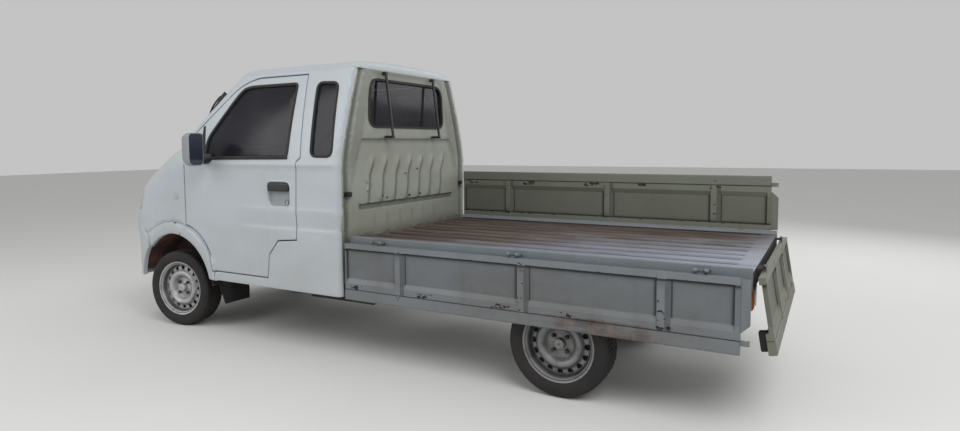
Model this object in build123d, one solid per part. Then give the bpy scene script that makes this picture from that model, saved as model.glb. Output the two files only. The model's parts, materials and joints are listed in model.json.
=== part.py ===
from build123d import *
import math
import os

# Driving sizes, in millimetres. X runs forward, Y to the left, Z up, and the ground is at Z 0.
REST_GAP = 0.3
RUNNING_FIT = 0.05

REAR_AXLE_X = -1235
WHEELBASE = 2785
FRONT_AXLE_X = REAR_AXLE_X + WHEELBASE
TYRE_RADIUS = 262
TYRE_WIDTH = 160
RIM_RADIUS = 190
RIM_WIDTH = 140
DISC_THICK = 6
FRONT_WHEEL_Y = 620
REAR_WHEEL_Y = 575
KINGPIN_Y = FRONT_WHEEL_Y - 35
STEER_AT_REST = 8
NUT_CIRCLE_RADIUS = 50
NUT_COUNT = 4
DISC_HOLE_CIRCLE = 141
DISC_HOLE_RADIUS = 9
DISC_HOLE_COUNT = 16

CAB_REAR_X = 50
CAB_HALF_WIDTH = 735
CAB_WALL = 32
CAB_CORNER = 45
ROOF_LENGTH = 905
ROOF_Z = 1768
ROOF_FRONT_X = CAB_REAR_X + ROOF_LENGTH
ROOF_SPLIT_Z = ROOF_Z - 68
BELT_Z = 1120
COWL_Z = 1250
COWL_X = FRONT_AXLE_X - 98
NOSE_X = FRONT_AXLE_X + 535
SILL_Z = 365
DOOR_GAP = 7
DOOR_FRONT_X = FRONT_AXLE_X - 165
DOOR_REAR_X = CAB_REAR_X + 329
DOOR_FOOT_Z = SILL_Z + 67
FLOOR_PAN_Z = 470
FLOOR_PAN_THICK = 30
TOE_X = FRONT_AXLE_X - 420
TOE_THICK = 25
SEAT_BASE_Z = FLOOR_PAN_Z + 170
SEAT_Y = 330
GLASS_THICK = 6
GLASS_DEPTH = 8

ARCH_X = FRONT_AXLE_X - 30
ARCH_Z = TYRE_RADIUS + 23
ARCH_RADIUS = TYRE_RADIUS + 103
FLARE_WIDTH = 50
FLARE_PROUD = 10

BONNET_HALF_WIDTH = CAB_HALF_WIDTH - 223
BONNET_GAP = 8
BONNET_REAR_GAP = 20
BONNET_THICK = 18
LAMP_INNER_Y = CAB_HALF_WIDTH - 340
LAMP_Z = (800, 930)
LAMP_DEPTH = 54
LAMP_SET_IN = 6
BUMPER_TOP_Z = 760
BUMPER_LOW_Z = 330
BUMPER_THICK = 50
BUMPER_PROUD = 95
BUMPER_SHELF = 30

CAB_TO_BED = 12
BED_FRONT_X = CAB_REAR_X - CAB_TO_BED
BED_REAR_X = -2098
BED_HALF_WIDTH = 655
BED_Z = 700
FLOOR_PLATE = 3
RIB_HEIGHT = 12
RIB_PITCH = 131
RIB_WIDTH = 76
RIB_COUNT = 9
BED_BEAM_Z = (BED_Z - 50, BED_Z - 13)
BED_BEAM_WIDTH = 50

HINGE_Y = BED_HALF_WIDTH + 35
TAILGATE_HINGE_X = BED_REAR_X - 32
TAILGATE_LEAN = 9
GATE_HEIGHT = 340
GATE_SETBACK = 22
GATE_THICK = 35
GATE_FOOT = 17
GATE_FRONT_X = BED_FRONT_X - 14
GATE_REAR_X = BED_REAR_X + 38
GATE_FLANGE = 44
GATE_RIBS_X = (-335, -1068, -1740)
GATE_RIB_WIDTH = 60
TAILGATE_HALF_WIDTH = BED_HALF_WIDTH + 5
TAILGATE_RIB_Y = 220
TOP_RAIL = 118
SIDE_HINGES_X = (-180, -1018, -1900)
TAIL_HINGE_Y = 480

RAIL_Y = 335
RAIL_WIDTH = 50
RAIL_DEPTH = 90
RAIL_TOP_Z = FLOOR_PAN_Z - FLOOR_PAN_THICK - REST_GAP
RAIL_LOW_Z = RAIL_TOP_Z - RAIL_DEPTH
REAR_RAIL_TOP_Z = BED_Z - 60
REAR_RAIL_DEPTH = 80
ENGINE_X = (CAB_REAR_X + 200, CAB_REAR_X + 770)
ENGINE_HALF_WIDTH = 230
ENGINE_Z = (180, RAIL_TOP_Z)

PIN_RADIUS = 5
KNUCKLE_RADIUS = 8
HINGE_SPAN = 60
KNUCKLE_SPAN = 28
LUG_SPAN = (15, 30)
SPINDLE_RADIUS = 15
KINGPIN_RADIUS = 12

# Reaches that only have to pass right through or round the cab.
CAB_BEYOND_Y = CAB_HALF_WIDTH + 165
CAB_BEYOND_X = NOSE_X + 215
CAB_BEYOND_Z = ROOF_Z + 132


def block(x, y, z):
    """A box from its three ranges."""
    corner = Vector(min(x), min(y), min(z))
    size = Vector(max(x), max(y), max(z)) - corner
    return Pos(corner) * Box(size.X, size.Y, size.Z, align=(Align.MIN, Align.MIN, Align.MIN))


def around(centre, half):
    """The range that reaches half a width to both sides of a place."""
    return centre - half, centre + half


def outline(points):
    """A flat face from points; a point of four numbers ends an arc that passes its last two."""
    edges = []
    last = points[-1][:2]
    for point in points:
        if len(point) == 4:
            edges.append(ThreePointArc(last, point[2:], point[:2]))
        elif point != last:
            edges.append(Line(last, point))
        last = point[:2]
    return make_face(edges)


def travel(start, point):
    """The directions of travel at a side's start and end, and at its middle for an arc."""
    a, b = complex(*start), complex(*point[:2])
    if len(point) == 2:
        way = (b - a) / abs(b - a)
        return way, way, way
    m = complex(*point[2:])
    w = (b - a) / (m - a)
    centre = a - (a - m) * (w - abs(w) ** 2) / (2j * w.imag)
    ways = []
    for place in (a, b, m):
        across = place - centre
        ways.append(1j * across / abs(across))
    if ((m - a) * ways[0].conjugate()).real < 0:
        ways = [-way for way in ways]
    return ways


def inset(points, distance):
    """The same outline, moved inward by a distance, or outward by a negative one."""
    starts = [point[:2] for point in points[-1:] + points[:-1]]
    sides = [(start, point) for start, point in zip(starts, points) if start != point]
    ways = [travel(start, point) for start, point in sides]
    turn = sum(a[0] * b[1] - b[0] * a[1] for a, b in sides)
    inward = 1j * distance * (1 if turn > 0 else -1)
    made = []
    for i, (start, point) in enumerate(sides):
        before, after = ways[i][1], ways[(i + 1) % len(sides)][0]
        corner = complex(*point[:2]) + inward * (before + after) / (1 + (before * after.conjugate()).real)
        moved = (corner.real, corner.imag)
        if len(point) == 4:
            middle = complex(*point[2:]) + inward * ways[i][2]
            moved += (middle.real, middle.imag)
        made.append(moved)
    return made


def along_y(face, y0, y1):
    """A side view face, in X and Z, carried from y0 to y1."""
    return extrude(Plane((0, y1, 0), x_dir=(1, 0, 0), z_dir=(0, -1, 0)) * face, y1 - y0)


def along_x(face, x0, x1):
    """An end view face, in Y and Z, carried from x0 to x1."""
    return extrude(Plane((x0, 0, 0), x_dir=(0, 1, 0), z_dir=(1, 0, 0)) * face, x1 - x0)


def along_z(face, z0, z1):
    """A plan view face, in X and Y, carried from z0 to z1."""
    return extrude(Plane((0, 0, z0)) * face, z1 - z0)


def joined(shapes):
    made = None
    for shape in shapes:
        made = shape if made is None else made + shape
    return made


def other_side(shape):
    return mirror(shape, about=Plane.XZ)


def both_sides(shape):
    return shape + other_side(shape)


def rod(start, end, radius):
    """A round bar between two points."""
    start = Vector(start)
    path = Vector(end) - start
    align = (Align.CENTER, Align.CENTER, Align.MIN)
    return Plane(start, z_dir=path) * Cylinder(radius, path.length, align=align)


def turned(shape, point, direction, degrees):
    return shape.rotate(Axis(point, direction), degrees)


def lug_spans(centre):
    """The two ranges along a hinge that its fixed ears take."""
    near, far = LUG_SPAN
    return (centre - far, centre - near), (centre + near, centre + far)


def hinge(point, direction):
    """The fixed ears with their pin, and the moving knuckle with its bore, about one axis."""
    place = Plane(point, z_dir=direction)
    near, far = LUG_SPAN
    ear = Cylinder(KNUCKLE_RADIUS, far - near)
    ear_z = (near + far) / 2
    fixed = Cylinder(PIN_RADIUS, HINGE_SPAN) + Pos(0, 0, ear_z) * ear + Pos(0, 0, -ear_z) * ear
    moving = Cylinder(KNUCKLE_RADIUS, KNUCKLE_SPAN) - Cylinder(PIN_RADIUS + RUNNING_FIT, HINGE_SPAN)
    return place * fixed, place * moving


# The cab's outer form is where its side, end and plan views cross.
CAB_SIDE_VIEW = [
    (CAB_REAR_X, 200),
    (CAB_REAR_X, BELT_Z + 160),
    (CAB_REAR_X + 22, ROOF_Z - 42),
    (ROOF_FRONT_X, ROOF_Z - 28, CAB_REAR_X + 450, ROOF_Z + 2),
    (COWL_X, COWL_Z - 10),
    (NOSE_X - 55, COWL_Z - 265, COWL_X + 318, COWL_Z - 100),
    (NOSE_X, 700, NOSE_X - 15, 850),
    (NOSE_X, 200),
]
CAB_END_VIEW = [
    (CAB_HALF_WIDTH, 200),
    (CAB_HALF_WIDTH, BELT_Z),
    (CAB_HALF_WIDTH - 175, ROOF_Z - 96),
    (CAB_HALF_WIDTH - 245, ROOF_Z - 34, CAB_HALF_WIDTH - 195, ROOF_Z - 54),
    (245 - CAB_HALF_WIDTH, ROOF_Z - 34, 0, ROOF_Z),
    (175 - CAB_HALF_WIDTH, ROOF_Z - 96, 195 - CAB_HALF_WIDTH, ROOF_Z - 54),
    (-CAB_HALF_WIDTH, BELT_Z),
    (-CAB_HALF_WIDTH, 200),
]
CAB_PLAN = [
    (CAB_REAR_X + CAB_CORNER, -CAB_HALF_WIDTH),
    (NOSE_X - 385, -CAB_HALF_WIDTH),
    (NOSE_X - 100, 175 - CAB_HALF_WIDTH, NOSE_X - 195, 50 - CAB_HALF_WIDTH),
    (NOSE_X - 100, CAB_HALF_WIDTH - 175, NOSE_X, 0),
    (NOSE_X - 385, CAB_HALF_WIDTH, NOSE_X - 195, CAB_HALF_WIDTH - 50),
    (CAB_REAR_X + CAB_CORNER, CAB_HALF_WIDTH),
    (CAB_REAR_X, CAB_HALF_WIDTH - CAB_CORNER, CAB_REAR_X + 13, CAB_HALF_WIDTH - 13),
    (CAB_REAR_X, CAB_CORNER - CAB_HALF_WIDTH),
    (CAB_REAR_X + CAB_CORNER, -CAB_HALF_WIDTH, CAB_REAR_X + 13, 13 - CAB_HALF_WIDTH),
]


def cab_form(depth):
    side, end, plan = [outline(inset(view, depth)) for view in (CAB_SIDE_VIEW, CAB_END_VIEW, CAB_PLAN)]
    form = along_y(side, -CAB_BEYOND_Y, CAB_BEYOND_Y) & along_x(end, 0, CAB_BEYOND_X)
    return form & along_z(plan, 100, CAB_BEYOND_Z)


def between_sides(depth):
    return along_x(outline(inset(CAB_END_VIEW, depth)), 0, CAB_BEYOND_X)


def slice_x(x0, x1, z0=SILL_Z, z1=CAB_BEYOND_Z):
    """A block right across the cab, between two places along it and two heights."""
    return block((x0, x1), (-CAB_BEYOND_Y, CAB_BEYOND_Y), (z0, z1))


DOOR_OUTLINE = [
    (DOOR_FRONT_X, COWL_Z + 12),
    (DOOR_FRONT_X, ARCH_Z + ARCH_RADIUS + 70),
    (ARCH_X - ARCH_RADIUS - 33, DOOR_FOOT_Z, ARCH_X - ARCH_RADIUS + 45, ARCH_Z + ARCH_RADIUS - 40),
    (DOOR_REAR_X + 261, DOOR_FOOT_Z),
    (DOOR_REAR_X + 243, DOOR_FOOT_Z + 144),
    (DOOR_REAR_X + 166, DOOR_FOOT_Z + 236),
    (DOOR_REAR_X + 14, DOOR_FOOT_Z + 250),
    (DOOR_REAR_X, BELT_Z + 30),
    (DOOR_REAR_X - 27, BELT_Z + 53),
    (DOOR_REAR_X + 32, ROOF_Z - 96),
    (ROOF_FRONT_X - 25, ROOF_Z - 96),
]
DOOR_WINDOW = [
    (DOOR_FRONT_X - 200, BELT_Z + 48),
    (DOOR_FRONT_X - 200, BELT_Z + 172),
    (ROOF_FRONT_X + 7, ROOF_Z - 178),
    (ROOF_FRONT_X - 50, ROOF_Z - 146),
    (DOOR_REAR_X + 93, ROOF_Z - 146),
    (DOOR_REAR_X + 73, BELT_Z + 56),
]
QUARTER_WINDOW = [
    (DOOR_REAR_X - 111, BELT_Z + 58),
    (DOOR_REAR_X - 67, ROOF_Z - 148),
    (CAB_REAR_X + 98, ROOF_Z - 156),
    (CAB_REAR_X + 55, BELT_Z + 56),
]
REAR_WINDOW = (2 * CAB_HALF_WIDTH - 690, 290)
REAR_WINDOW_Z = ROOF_Z - 268
REAR_WINDOW_CORNER = 45

shell = (cab_form(0) - cab_form(CAB_WALL)) & slice_x(0, CAB_BEYOND_X)
side_walls = shell - between_sides(CAB_WALL)
door_prism = along_y(outline(DOOR_OUTLINE), 0, CAB_BEYOND_Y)
door_hole = along_y(outline(inset(DOOR_OUTLINE, -DOOR_GAP)), 0, CAB_BEYOND_Y)


def arch_disc(radius):
    return along_y(Pos(ARCH_X, ARCH_Z) * Circle(radius), -CAB_BEYOND_Y, CAB_BEYOND_Y)


wheel_arches = arch_disc(ARCH_RADIUS)
parts = {}


def cab_side():
    wall = side_walls - door_hole - along_y(outline(QUARTER_WINDOW), 0, CAB_BEYOND_Y)
    wall &= block((0, COWL_X + 148), (0, CAB_BEYOND_Y), (SILL_Z, ROOF_SPLIT_Z))
    behind_arch_x = ARCH_X - ARCH_RADIUS - 55
    return wall & (slice_x(0, behind_arch_x) + slice_x(behind_arch_x, COWL_X + 148, COWL_Z))


def rear_opening(clearance):
    width, height = REAR_WINDOW
    face = RectangleRounded(width - 2 * clearance, height - 2 * clearance, REAR_WINDOW_CORNER - clearance)
    return along_x(Pos(0, REAR_WINDOW_Z) * face, 0, CAB_REAR_X + 150)


def glazing(opening):
    """Glass lies just inside the panels that it closes."""
    return (cab_form(GLASS_DEPTH) - cab_form(GLASS_DEPTH + GLASS_THICK)) & opening


parts["cab_side_left"] = cab_side()
parts["cab_side_right"] = other_side(parts["cab_side_left"])
rear_wall = shell & between_sides(CAB_WALL) & slice_x(0, CAB_REAR_X + 90, SILL_Z + 75, ROOF_SPLIT_Z)
parts["cab_rear_wall"] = rear_wall - rear_opening(0)
parts["cab_roof"] = shell & slice_x(0, COWL_X, ROOF_SPLIT_Z)

screen_space = slice_x(ROOF_FRONT_X - 55, COWL_X + 148, COWL_Z, ROOF_SPLIT_Z)
parts["windscreen"] = glazing(between_sides(CAB_WALL + REST_GAP) & screen_space)
parts["rear_window"] = glazing(rear_opening(REST_GAP))
quarter_opening = along_y(outline(inset(QUARTER_WINDOW, REST_GAP)), 0, CAB_BEYOND_Y)
parts["quarter_glass"] = both_sides(glazing(quarter_opening))

DOOR_AXIS_X = DOOR_FRONT_X + 25
DOOR_AXIS_Y = CAB_HALF_WIDTH - KNUCKLE_RADIUS
DOOR_HINGES_Z = (DOOR_FOOT_Z + 368, BELT_Z - 60)
HANDLE_X = (DOOR_REAR_X + 75, DOOR_REAR_X + 210)
HANDLE_Z = (BELT_Z - 200, BELT_Z - 120)
HANDLE_DEPTH = 14
HANDLE_PULL_THICK = 8


def door():
    leaf = side_walls & door_prism
    leaf -= along_y(outline(DOOR_WINDOW), 0, CAB_BEYOND_Y)
    leaf -= block(HANDLE_X, (CAB_HALF_WIDTH - HANDLE_DEPTH, CAB_BEYOND_Y), HANDLE_Z)
    leaf += block(HANDLE_X, around(CAB_HALF_WIDTH, HANDLE_PULL_THICK / 2), (HANDLE_Z[1] - 30, HANDLE_Z[1]))
    for z in DOOR_HINGES_Z:
        fixed, moving = hinge((DOOR_AXIS_X, DOOR_AXIS_Y, z), (0, 0, 1))
        arm_x = (DOOR_FRONT_X - 15, DOOR_AXIS_X - PIN_RADIUS - 1)
        leaf += moving
        leaf += block(arm_x, around(DOOR_AXIS_Y, PIN_RADIUS), around(z, KNUCKLE_SPAN / 2 - 1))
    return leaf


parts["door_left"] = door()
parts["door_right"] = other_side(parts["door_left"])
door_opening = along_y(outline(inset(DOOR_WINDOW, REST_GAP)), 0, CAB_BEYOND_Y)
parts["door_glass_left"] = glazing(door_opening)
parts["door_glass_right"] = other_side(parts["door_glass_left"])

MIRROR = (DOOR_FRONT_X - 265, CAB_HALF_WIDTH + 103, BELT_Z + 108)
MIRROR_SIZE = (70, 150, 190)


def mirror_unit():
    head = Box(*MIRROR_SIZE)
    head = fillet(head.edges(), min(MIRROR_SIZE) * 0.3)
    arm_x = (MIRROR[0] - 20, MIRROR[0] + 80)
    arm = block(arm_x, (CAB_HALF_WIDTH - CAB_CORNER, MIRROR[1] - 50), (BELT_Z + 60, BELT_Z + 95))
    return (Pos(MIRROR) * head + arm) - cab_form(-REST_GAP)


parts["mirror_left"] = mirror_unit()
parts["mirror_right"] = other_side(parts["mirror_left"])

BONNET_AXIS_X = COWL_X + 22
BONNET_AXIS_Z = COWL_Z - 28
BONNET_LUG_Z = (BONNET_AXIS_Z - KNUCKLE_RADIUS, BONNET_AXIS_Z + 2)
BONNET_HINGE_Y = BONNET_HALF_WIDTH - 92
BONNET_X = (COWL_X + 32, NOSE_X - 128)
BONNET_LOW_Z = COWL_Z - 350
POCKET = 16


def lamp_space(clearance):
    low, high = LAMP_Z
    y = (LAMP_INNER_Y + clearance, CAB_BEYOND_Y)
    return both_sides(block((NOSE_X - 285, CAB_BEYOND_X), y, (low + clearance, high - clearance)))


def grille_space(clearance):
    y = LAMP_INNER_Y - 25 - clearance
    z = (LAMP_Z[0] + clearance, LAMP_Z[1] - 30 - clearance)
    return block((NOSE_X - 95, CAB_BEYOND_X), (-y, y), z)


def bonnet_space(clearance, rear_clearance):
    y = BONNET_HALF_WIDTH + clearance
    x = (BONNET_X[0] - rear_clearance, BONNET_X[1] + clearance)
    return block(x, (-y, y), (BONNET_LOW_Z, COWL_Z + 50))


def bumper_space(clearance):
    """The side view space below the bumper's seam, which climbs from the arch to the nose."""
    seam = [
        (ARCH_X + 206 - clearance, 0),
        (ARCH_X + 206 - clearance, BUMPER_TOP_Z - 94 + clearance),
        (NOSE_X - 125, BUMPER_TOP_Z + clearance),
        (CAB_BEYOND_X, BUMPER_TOP_Z + clearance),
        (CAB_BEYOND_X, 0),
    ]
    return along_y(outline(seam), -CAB_BEYOND_Y, CAB_BEYOND_Y)


def arch_flare():
    """A raised band round the wheel arch."""
    band = arch_disc(ARCH_RADIUS + FLARE_WIDTH) & (cab_form(-FLARE_PROUD) - cab_form(CAB_WALL))
    return band & slice_x(0, CAB_BEYOND_X)


def nose():
    front = shell & slice_x(DOOR_FRONT_X + DOOR_GAP, CAB_BEYOND_X, SILL_Z, COWL_Z)
    behind_arch_x = ARCH_X - ARCH_RADIUS - 55
    behind_arch = side_walls & slice_x(behind_arch_x, DOOR_FRONT_X + DOOR_GAP, SILL_Z, COWL_Z)
    panel = front + behind_arch + arch_flare()
    for hole in (door_hole, other_side(door_hole), wheel_arches, bumper_space(REST_GAP)):
        panel -= hole
    for hole in (bonnet_space(BONNET_GAP, BONNET_REAR_GAP), lamp_space(0), grille_space(0)):
        panel -= hole
    for z in DOOR_HINGES_Z:
        fixed, moving = hinge((DOOR_AXIS_X, DOOR_AXIS_Y, z), (0, 0, 1))
        pocket_x = (DOOR_FRONT_X, DOOR_AXIS_X + POCKET - 2)
        pocket = block(pocket_x, (CAB_HALF_WIDTH - 75, DOOR_AXIS_Y), around(z, 2 * POCKET))
        pocket += block(pocket_x, (CAB_HALF_WIDTH - 75, CAB_BEYOND_Y), around(z, POCKET))
        lugs = fixed
        for span in lug_spans(z):
            lugs += block((DOOR_AXIS_X, DOOR_AXIS_X + 28), around(DOOR_AXIS_Y, KNUCKLE_RADIUS), span)
        panel = panel - both_sides(pocket) + both_sides(lugs)
    for y in (-BONNET_HINGE_Y, BONNET_HINGE_Y):
        fixed, moving = hinge((BONNET_AXIS_X, y, BONNET_AXIS_Z), (0, 1, 0))
        lugs = fixed
        for span in lug_spans(y):
            lugs += block((COWL_X - 10, BONNET_AXIS_X), span, BONNET_LUG_Z)
        panel = panel - block((COWL_X, COWL_X + 48), around(y, POCKET), (COWL_Z - 60, COWL_Z + 50)) + lugs
    return panel


def bonnet():
    lid = (cab_form(0) - cab_form(BONNET_THICK)) & bonnet_space(0, 0)
    for y in (-BONNET_HINGE_Y, BONNET_HINGE_Y):
        fixed, moving = hinge((BONNET_AXIS_X, y, BONNET_AXIS_Z), (0, 1, 0))
        lid -= block((COWL_X, BONNET_X[0] + 2), around(y, 2 * POCKET), (COWL_Z - 150, COWL_Z + 50))
        lid += moving
        arm_x = (BONNET_AXIS_X + PIN_RADIUS + 1, BONNET_X[0] + 18)
        lid += block(arm_x, around(y, KNUCKLE_SPAN / 2 - 1), BONNET_LUG_Z)
    return lid


# The bumper's plan bows further forward than the cab's, and its thickness is taken inward.
BUMPER_PLAN = [
    (ARCH_X, -CAB_HALF_WIDTH),
    (NOSE_X - 385, -CAB_HALF_WIDTH),
    (NOSE_X - 45, 135 - CAB_HALF_WIDTH, NOSE_X - 180, 36 - CAB_HALF_WIDTH),
    (NOSE_X - 45, CAB_HALF_WIDTH - 135, NOSE_X + BUMPER_PROUD, 0),
    (NOSE_X - 385, CAB_HALF_WIDTH, NOSE_X - 180, CAB_HALF_WIDTH - 36),
    (ARCH_X, CAB_HALF_WIDTH),
]


def front_bumper():
    """A bowed shell round the nose, with a shelf on top that reaches in under the nose panel."""
    outer = along_z(outline(BUMPER_PLAN), BUMPER_LOW_Z, BUMPER_TOP_Z)
    inner = along_z(outline(inset(BUMPER_PLAN, BUMPER_THICK)), 0, BUMPER_TOP_Z - BUMPER_SHELF)
    inner += along_z(outline(inset(BUMPER_PLAN, BUMPER_THICK + BUMPER_PROUD)), 0, BUMPER_TOP_Z + BUMPER_SHELF)
    return (outer - inner - wheel_arches) & bumper_space(0)


parts["nose_panel"] = nose()
parts["bonnet"] = bonnet()
parts["headlamps"] = (cab_form(LAMP_SET_IN) - cab_form(LAMP_SET_IN + LAMP_DEPTH)) & lamp_space(REST_GAP)
parts["grille"] = (cab_form(GLASS_DEPTH) - cab_form(GLASS_DEPTH + 22)) & grille_space(REST_GAP)
parts["front_bumper"] = front_bumper()
TOE_TOP_Z = COWL_Z - 50
TUNNEL_Z = FLOOR_PAN_Z + 130


def cab_floor():
    low = FLOOR_PAN_Z - FLOOR_PAN_THICK
    pan_x = (CAB_REAR_X + CAB_WALL + 10, TOE_X + TOE_THICK)
    pan = block(pan_x, around(0, CAB_HALF_WIDTH - CAB_CORNER), (low, FLOOR_PAN_Z))
    ledge_z = TUNNEL_Z - 10
    toe_front_x = COWL_X - CAB_WALL
    toe_side = outline([
        (TOE_X, low),
        (TOE_X + TOE_THICK + 5, low),
        (TOE_X + 100, ledge_z),
        (toe_front_x, ledge_z),
        (toe_front_x, TOE_TOP_Z),
        (toe_front_x - TOE_THICK, TOE_TOP_Z),
        (toe_front_x - TOE_THICK, ledge_z + 30),
        (TOE_X + 75, ledge_z + 30),
    ])
    toe = along_y(toe_side, 95 - CAB_HALF_WIDTH, CAB_HALF_WIDTH - 95)
    seat_box_y = around(0, CAB_HALF_WIDTH - 115)
    seat_box = block((CAB_REAR_X + 80, CAB_REAR_X + 650), seat_box_y, (FLOOR_PAN_Z, SEAT_BASE_Z))
    tunnel = block((CAB_REAR_X + 650, TOE_X + 85), around(0, 120), (FLOOR_PAN_Z, TUNNEL_Z))
    return pan + toe + seat_box + tunnel


def seats():
    """Two seats on the seat box, each with a cushion, a leaning back and a headrest on two posts."""
    x = CAB_REAR_X
    cushion_z = SEAT_BASE_Z + 120
    back_z = cushion_z + 480
    made = None
    for y in (-SEAT_Y, SEAT_Y):
        seat = block((x + 180, x + 650), around(y, 235), (SEAT_BASE_Z + REST_GAP, cushion_z))
        foot_z = cushion_z + REST_GAP
        head_z, top_z = back_z + 22, back_z + 180
        back = [(x + 190, foot_z), (x + 300, foot_z), (x + 212, back_z), (x + 135, back_z)]
        head = [(x + 140, head_z), (x + 212, head_z), (x + 190, top_z), (x + 138, top_z)]
        seat += along_y(outline(back), y - 225, y + 225) + along_y(outline(head), y - 120, y + 120)
        for post_y in (y - 54, y + 54):
            seat += block((x + 162, x + 174), around(post_y, 6), (back_z - 2, back_z + 25))
        made = seat if made is None else made + seat
    return made


STEERING_CENTRE = Vector(COWL_X - 602, SEAT_Y, BELT_Z - 40)
COLUMN_TILT = 32
COLUMN_RADIUS = 28
STEERING_RADIUS = 178
STEERING_RIM = 14
SHAFT_RADIUS = 8
column_direction = Vector(-math.cos(math.radians(COLUMN_TILT)), 0, math.sin(math.radians(COLUMN_TILT)))
steering_plane = Plane(STEERING_CENTRE, x_dir=(0, 1, 0), z_dir=column_direction)


def dashboard():
    x = COWL_X - CAB_WALL - TOE_THICK - REST_GAP
    side = [
        (x, BELT_Z - 260), (x, BELT_Z + 70), (x - 165, BELT_Z + 85), (x - 385, BELT_Z + 20),
        (x - 410, BELT_Z - 80), (x - 335, BELT_Z - 180), (x - 195, BELT_Z - 260),
    ]
    body = along_y(outline(side), 75 - CAB_HALF_WIDTH, CAB_HALF_WIDTH - 75)
    below = (Align.CENTER, Align.CENTER, Align.MAX)
    column = steering_plane * Pos(0, 0, -30) * Cylinder(COLUMN_RADIUS, 240, align=below)
    shaft = steering_plane * Pos(0, 0, 2) * Cylinder(SHAFT_RADIUS, 40, align=below)
    return body + column + shaft


def steering_wheel():
    hub_radius = 55
    hub = Pos(0, 0, -12) * Cylinder(hub_radius, 26) - Cylinder(SHAFT_RADIUS + RUNNING_FIT, 90)
    spoke_length = STEERING_RADIUS - 42
    spoke = Pos(spoke_length / 2 + 40, 0, -6) * Box(spoke_length, 34, 12)
    spokes = joined(Rot(0, 0, angle) * spoke for angle in (0, 180, 270))
    spokes -= Cylinder(hub_radius - 15, 90)
    return steering_plane * Rot(0, 0, 120) * (Torus(STEERING_RADIUS, STEERING_RIM) + hub + spokes)


parts["cab_floor"] = cab_floor()
parts["seats"] = seats()
parts["dashboard"] = dashboard()
parts["steering_wheel"] = steering_wheel()

REAR_RAIL_LOW_Z = REAR_RAIL_TOP_Z - REAR_RAIL_DEPTH
CROSSMEMBER_HALF = (25, 28)


def frame():
    """Two rails that kick up behind the cab, with crossmembers, cab mounts and engine mounts."""
    front = NOSE_X - 105
    rear = BED_REAR_X + 48
    kick_top_x, kick_foot_x = CAB_REAR_X - 610, CAB_REAR_X - 280
    side = outline([
        (rear, REAR_RAIL_LOW_Z),
        (rear, REAR_RAIL_TOP_Z),
        (kick_top_x, REAR_RAIL_TOP_Z),
        (kick_foot_x, RAIL_TOP_Z),
        (front - 280, RAIL_TOP_Z),
        (front, RAIL_TOP_Z + 60),
        (front, RAIL_TOP_Z - 10),
        (front - 280, RAIL_LOW_Z),
        (kick_foot_x - 10, RAIL_LOW_Z),
        (kick_top_x - 30, REAR_RAIL_LOW_Z),
    ])
    rail_y = around(RAIL_Y, RAIL_WIDTH / 2)
    made = both_sides(along_y(side, *rail_y))
    rear_z = (REAR_RAIL_TOP_Z + REAR_RAIL_LOW_Z) / 2
    front_z = (RAIL_TOP_Z + RAIL_LOW_Z) / 2
    crossmembers = (
        (rear + 30, rear_z), (REAR_AXLE_X - 365, rear_z), (REAR_AXLE_X + 335, rear_z),
        (CAB_REAR_X - 150, front_z), (ENGINE_X[0] - 50, front_z), (ENGINE_X[1] + 60, front_z),
        (FRONT_AXLE_X - 250, front_z - 15), (front - 40, front_z + 65),
    )
    half_x, half_z = CROSSMEMBER_HALF
    for x, z in crossmembers:
        made += block(around(x, half_x), (-RAIL_Y, RAIL_Y), around(z, half_z))
    mount_z = (RAIL_TOP_Z - 45, RAIL_TOP_Z)
    for x in (CAB_REAR_X + 140, TOE_X - 190):
        made += both_sides(block(around(x, 40), (RAIL_Y, CAB_HALF_WIDTH - 45), mount_z))
    engine_mount_y = (ENGINE_HALF_WIDTH + REST_GAP, RAIL_Y)
    made += both_sides(block(around(CAB_REAR_X + 470, 40), engine_mount_y, (mount_z[0], RAIL_TOP_Z - 10)))
    stays = block((front - 40, front + 60), around(RAIL_Y, 20), (RAIL_TOP_Z, RAIL_TOP_Z + 60))
    return made + both_sides(stays) - parts["front_bumper"]


SILL_BEAM_X = (BED_REAR_X + 20, BED_FRONT_X)
BED_BEAMS_X = (
    BED_FRONT_X - 78, BED_FRONT_X - 458, BED_FRONT_X - 838,
    REAR_AXLE_X + 35, REAR_AXLE_X - 365, BED_REAR_X + 138,
)
EAR_Z = (BED_Z - KNUCKLE_RADIUS, BED_Z - 2)


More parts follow.
